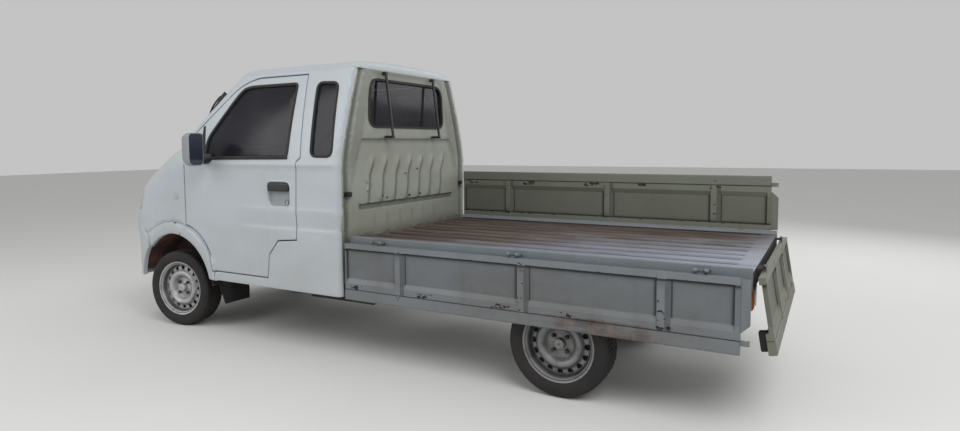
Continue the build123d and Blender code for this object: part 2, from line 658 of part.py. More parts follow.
def bed_frame():
    """Sills and side rails under the bed, tied by beams, with the ears of the gates' hinges."""
    low, high = BED_BEAM_Z
    made = both_sides(block(SILL_BEAM_X, around(RAIL_Y, 25), (REAR_RAIL_TOP_Z + REST_GAP, high)))
    side_rail_y = (BED_HALF_WIDTH - 40, BED_HALF_WIDTH)
    made += both_sides(block((BED_REAR_X, BED_FRONT_X), side_rail_y, (low - 20, high)))
    for x in BED_BEAMS_X:
        made += block(around(x, BED_BEAM_WIDTH / 2), (-BED_HALF_WIDTH, BED_HALF_WIDTH), (low, high))
    made += block((BED_REAR_X, BED_REAR_X + 45), (-BED_HALF_WIDTH, BED_HALF_WIDTH), (low - 30, high))
    for x in SIDE_HINGES_X:
        lugs, moving = hinge((x, HINGE_Y, BED_Z), (1, 0, 0))
        for span in lug_spans(x):
            lugs += block(span, (BED_HALF_WIDTH - 20, HINGE_Y), EAR_Z)
            lugs += block(span, (BED_HALF_WIDTH - 20, BED_HALF_WIDTH), (high - 1, EAR_Z[1]))
        made += both_sides(lugs)
    for y in (-TAIL_HINGE_Y, TAIL_HINGE_Y):
        lugs, moving = hinge((TAILGATE_HINGE_X, y, BED_Z), (0, 1, 0))
        for span in lug_spans(y):
            lugs += block((TAILGATE_HINGE_X, BED_REAR_X + 20), span, EAR_Z)
            lugs += block((BED_REAR_X, BED_REAR_X + 40), span, (high - 7, EAR_Z[1]))
        made += lugs
    return made


def bed_floor():
    """A corrugated steel floor with notches round the hinges' ears."""
    plate_z = BED_Z - RIB_HEIGHT
    x = (BED_REAR_X, BED_FRONT_X)
    plate = block(x, (-BED_HALF_WIDTH, BED_HALF_WIDTH), (BED_BEAM_Z[1] + REST_GAP, plate_z + FLOOR_PLATE))
    for i in range(RIB_COUNT):
        y = (i - (RIB_COUNT - 1) / 2) * RIB_PITCH
        plate += block(x, around(y, RIB_WIDTH / 2), (plate_z, BED_Z))
    plate += both_sides(block(x, (BED_HALF_WIDTH - 26, BED_HALF_WIDTH), (plate_z, BED_Z)))
    notch = max(LUG_SPAN) + 2
    notch_z = (BED_BEAM_Z[0], BED_Z + 1)
    for hinge_x in SIDE_HINGES_X:
        plate -= both_sides(block(around(hinge_x, notch), (BED_HALF_WIDTH - 22, BED_HALF_WIDTH + 20), notch_z))
    for y in (-TAIL_HINGE_Y, TAIL_HINGE_Y):
        plate -= block((BED_REAR_X - 5, BED_REAR_X + 42), around(y, notch), notch_z)
    return plate


parts["frame"] = frame()
parts["bed_frame"] = bed_frame()
parts["bed_floor"] = bed_floor()
GATE_LOW_Z = BED_Z + GATE_FOOT
GATE_TOP_Z = BED_Z + GATE_HEIGHT
GATE_SKIN = (12, 20)
STRAP_Z = (BED_Z + KNUCKLE_RADIUS - 2, GATE_LOW_Z + 5)


def side_gate():
    """The left gate standing up: a thin panel with ribs, a heavy top rail and a flange behind."""
    inner = HINGE_Y - GATE_SETBACK
    outer = inner + GATE_THICK
    x = (GATE_REAR_X, GATE_FRONT_X)
    made = block(x, (inner + GATE_SKIN[0], inner + GATE_SKIN[1]), (GATE_LOW_Z, GATE_TOP_Z))
    made += block(x, (inner + 2, outer - 6), (GATE_LOW_Z, GATE_LOW_Z + 28))
    made += block(x, (inner, outer), (GATE_TOP_Z - TOP_RAIL / 2, GATE_TOP_Z))
    made += block(x, (inner + 4, outer - 4), (GATE_TOP_Z - TOP_RAIL, GATE_TOP_Z))
    for rib_x in GATE_RIBS_X:
        made += block(around(rib_x, GATE_RIB_WIDTH / 2), (inner, outer - 4), (GATE_LOW_Z, GATE_TOP_Z - 10))
    made += block((GATE_REAR_X, GATE_REAR_X + 20), (inner + 2, outer - 4), (GATE_LOW_Z, GATE_TOP_Z))
    flange_z = (GATE_LOW_Z, GATE_TOP_Z - 105)
    made += block((GATE_REAR_X - GATE_FLANGE, GATE_REAR_X), (inner + 8, inner + 14), flange_z)
    latch_z = around(GATE_TOP_Z - 80, 10)
    made += block((GATE_REAR_X - GATE_FLANGE + 10, GATE_REAR_X), (inner + 5, inner + 17), latch_z)
    for hinge_x in SIDE_HINGES_X:
        fixed, moving = hinge((hinge_x, HINGE_Y, BED_Z), (1, 0, 0))
        made += moving
        made += block(around(hinge_x, KNUCKLE_SPAN / 2 - 1), around(HINGE_Y, PIN_RADIUS), STRAP_Z)
    return made


def tailgate():
    """The tailgate standing up, with ribs, end posts and two rubber buffers outside."""
    inner = TAILGATE_HINGE_X + GATE_SETBACK - 4
    outer = inner - GATE_THICK + 3
    half = TAILGATE_HALF_WIDTH
    made = block((inner - GATE_SKIN[0], inner - GATE_SKIN[1]), (-half, half), (GATE_LOW_Z, GATE_TOP_Z))
    made += block((inner - 2, outer + 6), (-half, half), (GATE_LOW_Z, GATE_LOW_Z + 28))
    made += block((inner, outer), (-half, half), (GATE_TOP_Z - TOP_RAIL / 2, GATE_TOP_Z))
    made += block((inner - 4, outer + 4), (-half, half), (GATE_TOP_Z - TOP_RAIL, GATE_TOP_Z))
    rib = block((inner, outer + 4), around(TAILGATE_RIB_Y, GATE_RIB_WIDTH / 2), (GATE_LOW_Z, GATE_TOP_Z - 10))
    end_post = block((inner - 2, outer + 4), (half - 20, half), (GATE_LOW_Z, GATE_TOP_Z))
    buffer = block((outer + 4, outer - 34), (half - 60, half - 20), (GATE_TOP_Z - 95, GATE_TOP_Z - 10))
    made += both_sides(rib + end_post + buffer)
    for hinge_y in (-TAIL_HINGE_Y, TAIL_HINGE_Y):
        fixed, moving = hinge((TAILGATE_HINGE_X, hinge_y, BED_Z), (0, 1, 0))
        made += moving
        made += block(around(TAILGATE_HINGE_X, PIN_RADIUS), around(hinge_y, KNUCKLE_SPAN / 2 - 1), STRAP_Z)
    return made


upright_gate = side_gate()
parts["gate_left"] = turned(upright_gate, (0, HINGE_Y, BED_Z), (1, 0, 0), 180)
parts["gate_right"] = other_side(upright_gate)
parts["tailgate"] = turned(tailgate(), (TAILGATE_HINGE_X, 0, BED_Z), (0, 1, 0), TAILGATE_LEAN - 180)


def wheel_plane(x, y, side):
    return Plane((x, y, TYRE_RADIUS), x_dir=(1, 0, 0), z_dir=(0, side, 0))


def around_axle(points):
    """A wheel part from its half section: radius, then distance outward from the wheel's middle."""
    return revolve(Plane.XZ * outline(points), Axis.Z)


def tyre():
    half = TYRE_WIDTH / 2
    outer, rim = TYRE_RADIUS, RIM_RADIUS
    return around_axle([
        (rim - 12, 21 - half), (rim + 2, 11 - half), (rim + 10, 3 - half), (outer - 22, -half),
        (outer - 6, 8 - half), (outer, 26 - half), (outer, half - 26), (outer - 6, half - 8),
        (outer - 22, half), (rim + 10, half - 3), (rim + 2, half - 11), (rim - 12, half - 21),
    ])


def wheel():
    """A pressed rim with its well, a dished disc with round holes, a hub and wheel nuts."""
    half = RIM_WIDTH / 2
    rim = RIM_RADIUS
    barrel = around_axle([
        (rim, -half), (rim - 12.3, 8 - half), (rim - 14, half - 46), (rim - 30, half - 50),
        (rim - 30, half - 24), (rim - 14, half - 18), (rim - 12.3, half - 8), (rim, half),
        (rim - 6, half), (rim - 20, half - 8), (rim - 22, half - 16), (rim - 38, half - 22),
        (rim - 38, half - 56), (rim - 22, half - 62), (rim - 20, 6 - half), (rim - 6, -half),
    ])
    bore = SPINDLE_RADIUS + RUNNING_FIT
    flat_z = 18
    crown = rim - 90
    disc = around_axle([
        (bore, flat_z), (bore, 44), (34, 44), (38, 30), (crown - 30, 30), (crown - 16, 44),
        (crown, 50), (crown + 18, 44), (crown + 30, flat_z + DISC_THICK), (rim - 37, flat_z + DISC_THICK),
        (rim - 37, flat_z), (crown + 24, flat_z), (crown + 8, 40), (crown - 8, 38), (crown - 26, flat_z),
    ])
    hole = Pos(DISC_HOLE_CIRCLE, 0, flat_z) * Cylinder(DISC_HOLE_RADIUS, 4 * DISC_THICK)
    for i in range(DISC_HOLE_COUNT):
        disc -= Rot(0, 0, 360 * i / DISC_HOLE_COUNT) * hole
    hub = around_axle([(bore, -4), (bore, flat_z + 0.5), (62, flat_z + 0.5), (62, -4)])
    nut = Pos(NUT_CIRCLE_RADIUS, 0, 36) * Cylinder(9, 16)
    nuts = joined(Rot(0, 0, 45 + 360 * i / NUT_COUNT) * nut for i in range(NUT_COUNT))
    return barrel + disc + hub + nuts


# Each wheel's place: X, Y, side, and the angle it is steered to.
WHEELS = {
    "front_left": (FRONT_AXLE_X, FRONT_WHEEL_Y, 1, STEER_AT_REST),
    "front_right": (FRONT_AXLE_X, -FRONT_WHEEL_Y, -1, STEER_AT_REST),
    "rear_left": (REAR_AXLE_X, REAR_WHEEL_Y, 1, 0),
    "rear_right": (REAR_AXLE_X, -REAR_WHEEL_Y, -1, 0),
}
one_wheel, one_tyre = wheel(), tyre()
for name, (x, y, side, steer) in WHEELS.items():
    for kind, shape in (("wheel", one_wheel), ("tyre", one_tyre)):
        placed = wheel_plane(x, y, side) * shape
        if steer:
            placed = turned(placed, (x, side * KINGPIN_Y, 0), (0, 0, 1), steer)
        parts[kind + "_" + name] = placed

HUB_REACH = 40
KINGPIN_REACH = 80


def knuckle():
    centre = Pos(FRONT_AXLE_X, KINGPIN_Y, TYRE_RADIUS)
    sleeve = centre * (Cylinder(2 * KINGPIN_RADIUS, 110) - Cylinder(KINGPIN_RADIUS + RUNNING_FIT, 200))
    inner_end = (FRONT_AXLE_X, KINGPIN_Y + 20, TYRE_RADIUS)
    spindle = rod(inner_end, (FRONT_AXLE_X, FRONT_WHEEL_Y + HUB_REACH, TYRE_RADIUS), SPINDLE_RADIUS)
    arm_z = (TYRE_RADIUS - 37, TYRE_RADIUS - 17)
    arm = block((FRONT_AXLE_X - 120, FRONT_AXLE_X), (KINGPIN_Y - 30, KINGPIN_Y - 16), arm_z)
    return sleeve + spindle + (arm - centre * Cylinder(20, 200))


parts["knuckle_left"] = turned(knuckle(), (FRONT_AXLE_X, KINGPIN_Y, 0), (0, 0, 1), STEER_AT_REST)
right_knuckle = other_side(knuckle())
parts["knuckle_right"] = turned(right_knuckle, (FRONT_AXLE_X, -KINGPIN_Y, 0), (0, 0, 1), STEER_AT_REST)


def front_suspension():
    x, axle_z = FRONT_AXLE_X, TYRE_RADIUS
    reach = KINGPIN_REACH
    strut_y = RAIL_Y + 80
    arm_end = KINGPIN_Y + KINGPIN_RADIUS + 2
    made = rod((x, KINGPIN_Y, axle_z - reach), (x, KINGPIN_Y, axle_z + reach), KINGPIN_RADIUS)
    made += block(around(x, 30), (RAIL_Y - 20, arm_end), (axle_z - reach - 2, axle_z - reach + 20))
    made += block(around(x, 20), (RAIL_Y + 65, arm_end), (axle_z + reach - 20, axle_z + reach))
    made += rod((x, strut_y, axle_z + reach - 18), (x, strut_y, axle_z + reach + 248), 22)
    made += block(around(x, 60), (0, RAIL_Y + 20), (axle_z - reach - 2, axle_z - reach + 40))
    made += block(around(x, 60), around(RAIL_Y, 20), (axle_z - reach + 20, RAIL_LOW_Z - REST_GAP))
    return both_sides(made)


AXLE_TUBE_RADIUS = 34
SPRING_HALF_LENGTH = 520
SPRING_BOW = 0.14
SPRING_LEAF = 8
PROPSHAFT_RADIUS = 32
SHAFT_START_X = REAR_AXLE_X + 190


def rear_axle():
    x, axle_z = REAR_AXLE_X, TYRE_RADIUS
    tube_end = REAR_WHEEL_Y - 22
    stub_end = REAR_WHEEL_Y + HUB_REACH
    tube = rod((x, -tube_end, axle_z), (x, tube_end, axle_z), AXLE_TUBE_RADIUS)
    stubs = rod((x, -stub_end, axle_z), (x, stub_end, axle_z), SPINDLE_RADIUS)
    ball = Pos(x, 0, axle_z) * Sphere(105)
    nose_piece = rod((x, 0, axle_z), (SHAFT_START_X, 0, axle_z + 6), 42)
    return tube + stubs + ball + nose_piece


def leaf_springs():
    """Three bowed leaves on each side, clamped over the axle and hung from the rails at both ends."""
    x = REAR_AXLE_X
    seat_z = TYRE_RADIUS + AXLE_TUBE_RADIUS + REST_GAP
    spring_y = (RAIL_Y + 65, RAIL_Y + 120)
    made = block(around(x, 60), (spring_y[0] - 5, spring_y[1] + 5), (seat_z, seat_z + 4 * SPRING_LEAF))
    for layer, reach in enumerate((SPRING_HALF_LENGTH - 220, SPRING_HALF_LENGTH - 100, SPRING_HALF_LENGTH)):
        z = seat_z + SPRING_LEAF * layer
        end_z = z + reach * SPRING_BOW
        leaf = outline([
            (x - reach, end_z), (x + reach, end_z, x, z), (x + reach, end_z + SPRING_LEAF),
            (x - reach, end_z + SPRING_LEAF, x, z + SPRING_LEAF),
        ])
        made += along_y(leaf, *spring_y)
    hanger_z = seat_z + 2 * SPRING_LEAF + SPRING_HALF_LENGTH * SPRING_BOW
    bracket_z = (REAR_RAIL_TOP_Z - 70, REAR_RAIL_TOP_Z - 40)
    for end in (10 - SPRING_HALF_LENGTH, SPRING_HALF_LENGTH - 15):
        made += block(around(x + end, 15), (spring_y[0] + 5, spring_y[1] - 5), (hanger_z, bracket_z[1]))
        made += block(around(x + end, 20), (RAIL_Y + RAIL_WIDTH / 2 + REST_GAP, spring_y[1]), bracket_z)
    return both_sides(made)


EXHAUST_Y = 200
EXHAUST_RADIUS = 20
SILENCER_X = (CAB_REAR_X - 750, CAB_REAR_X - 250)
ENGINE_WAIST_Z = ENGINE_Z[0] + 50


def exhaust():
    front, rear = max(SILENCER_X), min(SILENCER_X)
    z = ENGINE_WAIST_Z + 70
    silencer = rod((rear, EXHAUST_Y, z), (front, EXHAUST_Y, z), 60)
    tail = rod((rear - 300, EXHAUST_Y, z + 30), (rear + 10, EXHAUST_Y, z + 5), EXHAUST_RADIUS)
    down = rod((front - 10, EXHAUST_Y, z), (ENGINE_X[0] - 4, EXHAUST_Y - 80, z), EXHAUST_RADIUS)
    return silencer + tail + down


def engine_block():
    front, rear = max(ENGINE_X), min(ENGINE_X)
    upper = block(ENGINE_X, around(0, ENGINE_HALF_WIDTH), (ENGINE_WAIST_Z, ENGINE_Z[1]))
    sump = block((rear, front - 20), around(0, ENGINE_HALF_WIDTH - 60), (ENGINE_Z[0], ENGINE_WAIST_Z))
    return upper + sump


LAMP_HEIGHT = 100
MUDFLAP_X = FRONT_AXLE_X - TYRE_RADIUS - 200
GUARD_Y = 270
GUARD_X = CAB_REAR_X - 36
GUARD_RADIUS = 8


def window_guard():
    """Two upright bars behind the rear window, each on two feet."""
    low, high = REAR_WINDOW_Z - 210, REAR_WINDOW_Z + 180
    made = rod((GUARD_X, GUARD_Y, low), (GUARD_X, GUARD_Y, high), GUARD_RADIUS)
    made += block((GUARD_X - 2, CAB_REAR_X + 2), around(GUARD_Y, 12), (low - 4, low + 12))
    made += block((GUARD_X - 2, CAB_REAR_X + 22), around(GUARD_Y, 12), (high - 12, high + 4))
    return both_sides(made) - cab_form(0)


def wipers():
    """Two arms from bosses on the cowl, lying across the windscreen."""
    rise, run = ROOF_Z - 28 - COWL_Z + 10, COWL_X - ROOF_FRONT_X
    up_screen = Vector(-run, 0, rise).normalized()
    outward = Vector(rise, 0, run).normalized()
    made = None
    for y in (-60, 380):
        root = Vector(COWL_X, y, COWL_Z - 10) + up_screen * 9 + outward * REST_GAP
        tip = root + up_screen * 222 + Vector(0, -330, 0) - outward * 1.8
        arm = rod(root, root + outward * 14, 9) + rod(root + outward * 8, tip, PIN_RADIUS)
        made = arm if made is None else made + arm
    return made


parts["front_suspension"] = front_suspension()
parts["rear_axle"] = rear_axle()
parts["leaf_springs"] = leaf_springs()
parts["engine_block"] = engine_block()
shaft_end = (ENGINE_X[0] - 2, 0, ENGINE_WAIST_Z + 70)
parts["propshaft"] = rod((SHAFT_START_X + 1, 0, TYRE_RADIUS + 6), shaft_end, PROPSHAFT_RADIUS)
tank_y = (-600, -(RAIL_Y + RAIL_WIDTH / 2 + REST_GAP))
parts["fuel_tank"] = block((CAB_REAR_X - 740, CAB_REAR_X - 320), tank_y, (RAIL_LOW_Z - 20, RAIL_LOW_Z + 205))
parts["exhaust"] = exhaust()
tail_lamp_z = (BED_BEAM_Z[0] - 30 - REST_GAP - LAMP_HEIGHT, BED_BEAM_Z[0] - 30 - REST_GAP)
parts["tail_lamps"] = both_sides(block((BED_REAR_X + 1, BED_REAR_X + 58), (430, 600), tail_lamp_z))
mudflap_y = (FRONT_WHEEL_Y - 110, CAB_HALF_WIDTH - 35)
parts["mudflaps"] = both_sides(block((MUDFLAP_X, MUDFLAP_X + 6), mudflap_y, (205, RAIL_TOP_Z)))
parts["window_guard"] = window_guard()
parts["wipers"] = wipers()

os.makedirs("parts", exist_ok=True)
for name, shape in parts.items():
    shape.label = name
    export_step(shape, "parts/" + name + ".step")
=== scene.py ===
import json
import math

import bmesh
import bpy
import numpy as np
from mathutils import Matrix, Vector
from mathutils.geometry import delaunay_2d_cdt

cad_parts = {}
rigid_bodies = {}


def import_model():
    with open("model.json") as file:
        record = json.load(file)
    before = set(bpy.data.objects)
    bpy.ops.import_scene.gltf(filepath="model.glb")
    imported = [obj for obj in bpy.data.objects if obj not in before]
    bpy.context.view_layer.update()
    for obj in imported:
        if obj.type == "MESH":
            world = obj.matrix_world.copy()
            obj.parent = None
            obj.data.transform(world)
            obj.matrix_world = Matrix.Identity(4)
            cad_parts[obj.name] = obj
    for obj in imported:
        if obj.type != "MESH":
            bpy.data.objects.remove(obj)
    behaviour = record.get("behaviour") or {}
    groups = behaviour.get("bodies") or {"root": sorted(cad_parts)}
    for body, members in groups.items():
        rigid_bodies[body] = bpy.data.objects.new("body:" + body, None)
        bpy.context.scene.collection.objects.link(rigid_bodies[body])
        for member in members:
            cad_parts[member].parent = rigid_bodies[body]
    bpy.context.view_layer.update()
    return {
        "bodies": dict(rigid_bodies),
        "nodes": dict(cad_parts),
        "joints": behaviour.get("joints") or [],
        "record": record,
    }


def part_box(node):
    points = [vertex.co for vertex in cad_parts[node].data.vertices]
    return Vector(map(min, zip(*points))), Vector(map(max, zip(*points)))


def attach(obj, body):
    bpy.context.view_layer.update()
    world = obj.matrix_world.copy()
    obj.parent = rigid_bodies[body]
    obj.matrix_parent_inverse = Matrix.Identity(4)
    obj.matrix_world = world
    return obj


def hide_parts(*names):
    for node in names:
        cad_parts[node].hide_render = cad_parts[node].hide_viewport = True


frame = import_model()
nodes = frame["nodes"]
joints = {joint["name"]: joint for joint in frame["joints"]}


def corners(node):
    """The lowest and highest corner of a CAD node, as arrays."""
    low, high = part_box(node)
    return np.array(low), np.array(high)


# Driving places of the truck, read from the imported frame, in metres.
side_low, side_high = corners("cab_side_left")
CAB_REAR = side_low[0]
CAB_HALF = side_high[1]
SILL = side_low[2]
ROOF_SPLIT = side_high[2]
ROOF_TOP = corners("cab_roof")[1][2]
NOSE = corners("nose_panel")[1][0]
FRONT_AXLE, _, AXLE_Z = joints["steer_left"]["pos_m"]
COWL = FRONT_AXLE - 0.098
COWL_Z = corners("nose_panel")[1][2]
DOOR_FRONT = corners("door_glass_left")[1][0] + 0.2
BELT = COWL_Z - 0.130
DOOR_REAR = CAB_REAR + 0.329
DOOR_FOOT = SILL + 0.067
ROOF_FRONT = CAB_REAR + 0.905
ARCH = np.array([FRONT_AXLE - 0.030, AXLE_Z + 0.023])
ARCH_RADIUS = AXLE_Z + 0.103
FLARE_WIDTH = 0.082


# Shapes in the flat: outlines as points, and distances from them.
def arc_points(start, middle, end, steps=24):
    """Points on the circle through three points, without the first."""
    a, b, c = complex(*start), complex(*middle), complex(*end)
    w = (c - a) / (b - a)
    centre = a - (a - b) * (w - abs(w) ** 2) / (2j * w.imag)
    turn = np.angle((c - centre) / (a - centre))
    by_middle = np.angle((b - centre) / (a - centre))
    if by_middle * turn < 0 or abs(by_middle) > abs(turn):
        turn -= math.copysign(2 * math.pi, turn)
    points = centre + (a - centre) * np.exp(1j * turn * np.arange(1, steps + 1) / steps)
    return np.column_stack([points.real, points.imag])


def traced(points):
    """A closed outline; a point of four numbers ends an arc that passes its last two."""
    made = []
    last = points[-1][:2]
    for point in points:
        if len(point) == 4:
            made.append(arc_points(last, point[2:], point[:2]))
        else:
            made.append(np.array([point[:2]], float))
        last = point[:2]
    return np.concatenate(made)


def rounded(points, radius):
    """A closed outline whose corners are cut by curves that start a radius away from each corner."""
    points = np.array(points, float)
    radius = np.broadcast_to(radius, len(points))[:, None]
    before, after = np.roll(points, 1, 0) - points, np.roll(points, -1, 0) - points
    far_before, far_after = (np.linalg.norm(way, axis=1)[:, None] for way in (before, after))
    start = points + before * np.minimum(radius / far_before, 0.48)
    end = points + after * np.minimum(radius / far_after, 0.48)
    t = np.linspace(0, 1, 8)[None, :, None]
    curve = (1 - t) ** 2 * start[:, None] + 2 * t * (1 - t) * points[:, None] + t ** 2 * end[:, None]
    return curve.reshape(-1, 2)


def spaced(points, step, closed=True):
    """The same line with points at about equal steps, its corners kept."""
    if closed:
        points = np.concatenate([points, points[:1]])
    lengths = np.linalg.norm(np.diff(points, axis=0), axis=1)
    points = points[np.append(lengths > 1e-7, True)]
    lengths = np.linalg.norm(np.diff(points, axis=0), axis=1)
    counts = np.maximum(np.ceil(lengths / step).astype(int), 1)
    starts = np.repeat(points[:-1], counts, 0)
    ways = np.repeat(np.diff(points, axis=0), counts, 0)
    share = np.concatenate([np.arange(count) / count for count in counts])[:, None]
    made = starts + ways * share
    return made if closed else np.concatenate([made, points[-1:]])


def edge_distance(points, outline):
    """The distance from each point to a closed outline."""
    a = outline
    way = np.roll(outline, -1, 0) - outline
    size = np.maximum((way ** 2).sum(1), 1e-14)
    best = np.full(len(points), np.inf)
    for low in range(0, len(points), 4000):
        block = points[low:low + 4000]
        gap = block[:, None] - a[None]
        share = np.clip((gap * way).sum(2) / size, 0, 1)
        near = gap - share[..., None] * way
        best[low:low + 4000] = np.sqrt((near ** 2).sum(2).min(1))
    return best


def inside(points, outline):
    """Whether each point lies inside a closed outline, by counting the sides that a ray crosses."""
    a, b = outline, np.roll(outline, -1, 0)
    x, y = points[:, 0, None], points[:, 1, None]
    spans = (a[:, 1] > y) != (b[:, 1] > y)
    rise = np.where(b[:, 1] == a[:, 1], 1e-12, b[:, 1] - a[:, 1])
    crossing = a[:, 0] + (y - a[:, 1]) / rise * (b[:, 0] - a[:, 0])
    return (spans & (x < crossing)).sum(1) % 2 == 1


def moved_edge(outline, distance):
    """An outline moved to its inside by a distance, along the mean normal of its two sides."""
    ahead = np.roll(outline, -1, 0) - outline
    ahead /= np.maximum(np.linalg.norm(ahead, axis=1), 1e-12)[:, None]
    normal = np.column_stack([-ahead[:, 1], ahead[:, 0]])
    area = (outline[:, 0] * np.roll(outline[:, 1], -1) - np.roll(outline[:, 0], -1) * outline[:, 1]).sum()
    mean = normal + np.roll(normal, 1, 0)
    mean /= np.maximum((mean ** 2).sum(1) / 2, 0.5)[:, None]
    return outline + mean * distance * np.sign(area)


def smooth_step(value, low, high):
    """0 up to low and 1 from high on, with a smooth rise between; low may be the larger."""
    t = np.clip((value - low) / (high - low), 0, 1)
    return t * t * (3 - 2 * t)


def bump(value, centre, half, soft):
    """1 within half a width of the centre, falling to 0 over a soft margin."""
    return 1 - smooth_step(np.abs(value - centre), half, half + soft)


# The cab's outer form: its side, end and plan views meet with rounded edges.
class View:
    """Signed distances from an outline, negative inside, kept on a grid and read between its points."""

    def __init__(self, outline, low, high, step=0.006):
        self.low = np.array(low)
        self.step = step
        counts = np.ceil((np.array(high) - self.low) / step).astype(int) + 1
        u, v = np.meshgrid(*(self.low[i] + np.arange(counts[i]) * step for i in (0, 1)), indexing="ij")
        points = np.column_stack([u.ravel(), v.ravel()])
        signs = np.where(inside(points, outline), -1, 1)
        self.field = (edge_distance(points, outline) * signs).reshape(u.shape)

    def __call__(self, u, v):
        place = (np.stack([u, v], -1) - self.low) / self.step
        top = np.array(self.field.shape) - 2
        cell = np.clip(np.floor(place).astype(int), 0, top)
        s, t = np.moveaxis(place - cell, -1, 0)
        i, j = np.moveaxis(cell, -1, 0)
        near = self.field[i, j] * (1 - t) + self.field[i, j + 1] * t
        far = self.field[i + 1, j] * (1 - t) + self.field[i + 1, j + 1] * t
        return near * (1 - s) + far * s


SIDE_VIEW = traced([
    (CAB_REAR, 0.20),
    (CAB_REAR, BELT + 0.160),
    (CAB_REAR + 0.014, ROOF_TOP - 0.048),
    (CAB_REAR + 0.044, ROOF_TOP - 0.010, CAB_REAR + 0.020, ROOF_TOP - 0.020),
    (ROOF_FRONT - 0.040, ROOF_TOP - 0.0235, CAB_REAR + 0.430, ROOF_TOP + 0.003),
    (ROOF_FRONT + 0.048, ROOF_TOP - 0.077, ROOF_FRONT + 0.010, ROOF_TOP - 0.042),
    (COWL, COWL_Z - 0.010),
    (NOSE - 0.055, COWL_Z - 0.265, COWL + 0.318, COWL_Z - 0.100),
    (NOSE, 0.70, NOSE - 0.015, 0.85),
    (NOSE, 0.20),
])
END_VIEW = traced([
    (CAB_HALF - 0.006, 0.20),
    (CAB_HALF - 0.001, BELT, CAB_HALF, 0.80),
    (CAB_HALF - 0.166, ROOF_TOP - 0.096, CAB_HALF - 0.076, ROOF_TOP - 0.360),
    (CAB_HALF - 0.240, ROOF_TOP - 0.030, CAB_HALF - 0.188, ROOF_TOP - 0.052),
    (0.240 - CAB_HALF, ROOF_TOP - 0.030, 0, ROOF_TOP + 0.004),
    (0.166 - CAB_HALF, ROOF_TOP - 0.096, 0.188 - CAB_HALF, ROOF_TOP - 0.052),
    (0.001 - CAB_HALF, BELT, 0.076 - CAB_HALF, ROOF_TOP - 0.360),
    (0.006 - CAB_HALF, 0.20, -CAB_HALF, 0.80),
])
PLAN_VIEW = traced([
    (CAB_REAR + 0.045, -CAB_HALF),
    (NOSE - 0.385, -CAB_HALF),
    (NOSE - 0.100, 0.175 - CAB_HALF, NOSE - 0.195, 0.050 - CAB_HALF),
    (NOSE - 0.100, CAB_HALF - 0.175, NOSE, 0),
    (NOSE - 0.385, CAB_HALF, NOSE - 0.195, CAB_HALF - 0.050),
    (CAB_REAR + 0.045, CAB_HALF),
    (CAB_REAR, CAB_HALF - 0.045, CAB_REAR + 0.013, CAB_HALF - 0.013),
    (CAB_REAR, 0.045 - CAB_HALF),
    (CAB_REAR + 0.045, -CAB_HALF, CAB_REAR + 0.013, 0.013 - CAB_HALF),
])
side_view = View(SIDE_VIEW, (0.0, 0.15), (2.3, 1.85))
end_view = View(END_VIEW, (-0.85, 0.15), (0.85, 1.85))
plan_view = View(PLAN_VIEW, (0.0, -0.85), (2.3, 0.85))
EDGE_ROUNDING = 0.024
SHOULDER_ROUNDING = 0.085


def blended(a, b, width):
    """The larger of two distances, rounded where they are nearly the same."""
    near = np.clip(width - np.abs(a - b), 0, None) / width
    return np.maximum(a, b) + near * near * width / 4


# The plane that each wing's shoulder falls along, from the screen's foot to the headlamp.
WING_WAY = (0.4392, 0.5900, 0.6775)
WING_REACH = 1.8934
WING_ROUNDING = 0.05


def wing_fall(x, y, z):
    """Distance above the wing's plane, which lifts away behind the cowl."""
    lift = 0.2 * smooth_step(-x, -COWL, 0.15 - COWL)
    return WING_WAY[0] * x + WING_WAY[1] * np.abs(y) + WING_WAY[2] * z - WING_REACH - lift


def cab_field(points):
    """Signed distance from the cab's outer form. The wings' shoulders are rounder than the cab's edges."""
    x, y, z = np.moveaxis(points, -1, 0)
    width = EDGE_ROUNDING + (SHOULDER_ROUNDING - EDGE_ROUNDING) * smooth_step(x, COWL - 0.02, COWL + 0.25)
    upright = blended(side_view(x, z), end_view(y, z), width)
    return blended(blended(upright, plan_view(x, y), width), wing_fall(x, y, z), WING_ROUNDING)


def meet(field, start, way, reach, steps=26):
    """Where lines from inside a form first leave it, by halving the stretch that holds the crossing."""
    low = np.zeros(len(start))
    high = np.full(len(start), float(reach))
    for _ in range(steps):
        middle = (low + high) / 2
        outside = field(start + way * middle[:, None]) > 0
        high = np.where(outside, middle, high)
        low = np.where(outside, low, middle)
    return start + way * high[:, None]


def outward(field, points, step=0.003):
    """The outward normals of a form, from how its distance changes."""
    slopes = []
    for axis in range(3):
        shift = np.zeros(3)
        shift[axis] = step
        slopes.append(field(points + shift) - field(points - shift))
    slope = np.stack(slopes, -1)
    return slope / np.maximum(np.linalg.norm(slope, axis=1), 1e-12)[:, None]


AXIS_X = 0.62
ring_angle = np.linspace(-math.pi, math.pi, 1441)
ring_way = np.column_stack([np.cos(ring_angle), np.sin(ring_angle), np.zeros_like(ring_angle)])
ring = meet(cab_field, np.tile([AXIS_X, 0, 1.0], (len(ring_angle), 1)), ring_way, 1.7)
ring_length = np.append(0, np.cumsum(np.linalg.norm(np.diff(ring, axis=0), axis=1)))
ring_length -= np.interp(0, ring_angle, ring_length)


class Around:
    """The cab's walls: u is the way round the cab at chest height from the middle of the nose, v the height."""

    @staticmethod
    def flat(points):
        angle = np.arctan2(points[:, 1], points[:, 0] - AXIS_X)
        return np.column_stack([np.interp(angle, ring_angle, ring_length), points[:, 2]])

    @staticmethod
    def solid(uv):
        angle = np.interp(uv[:, 0], ring_length, ring_angle)
        way = np.column_stack([np.cos(angle), np.sin(angle), np.zeros_like(angle)])
        start = np.column_stack([np.full(len(uv), AXIS_X), np.zeros(len(uv)), uv[:, 1]])
        points = meet(cab_field, start, way, 1.7)
        return points, outward(cab_field, points)


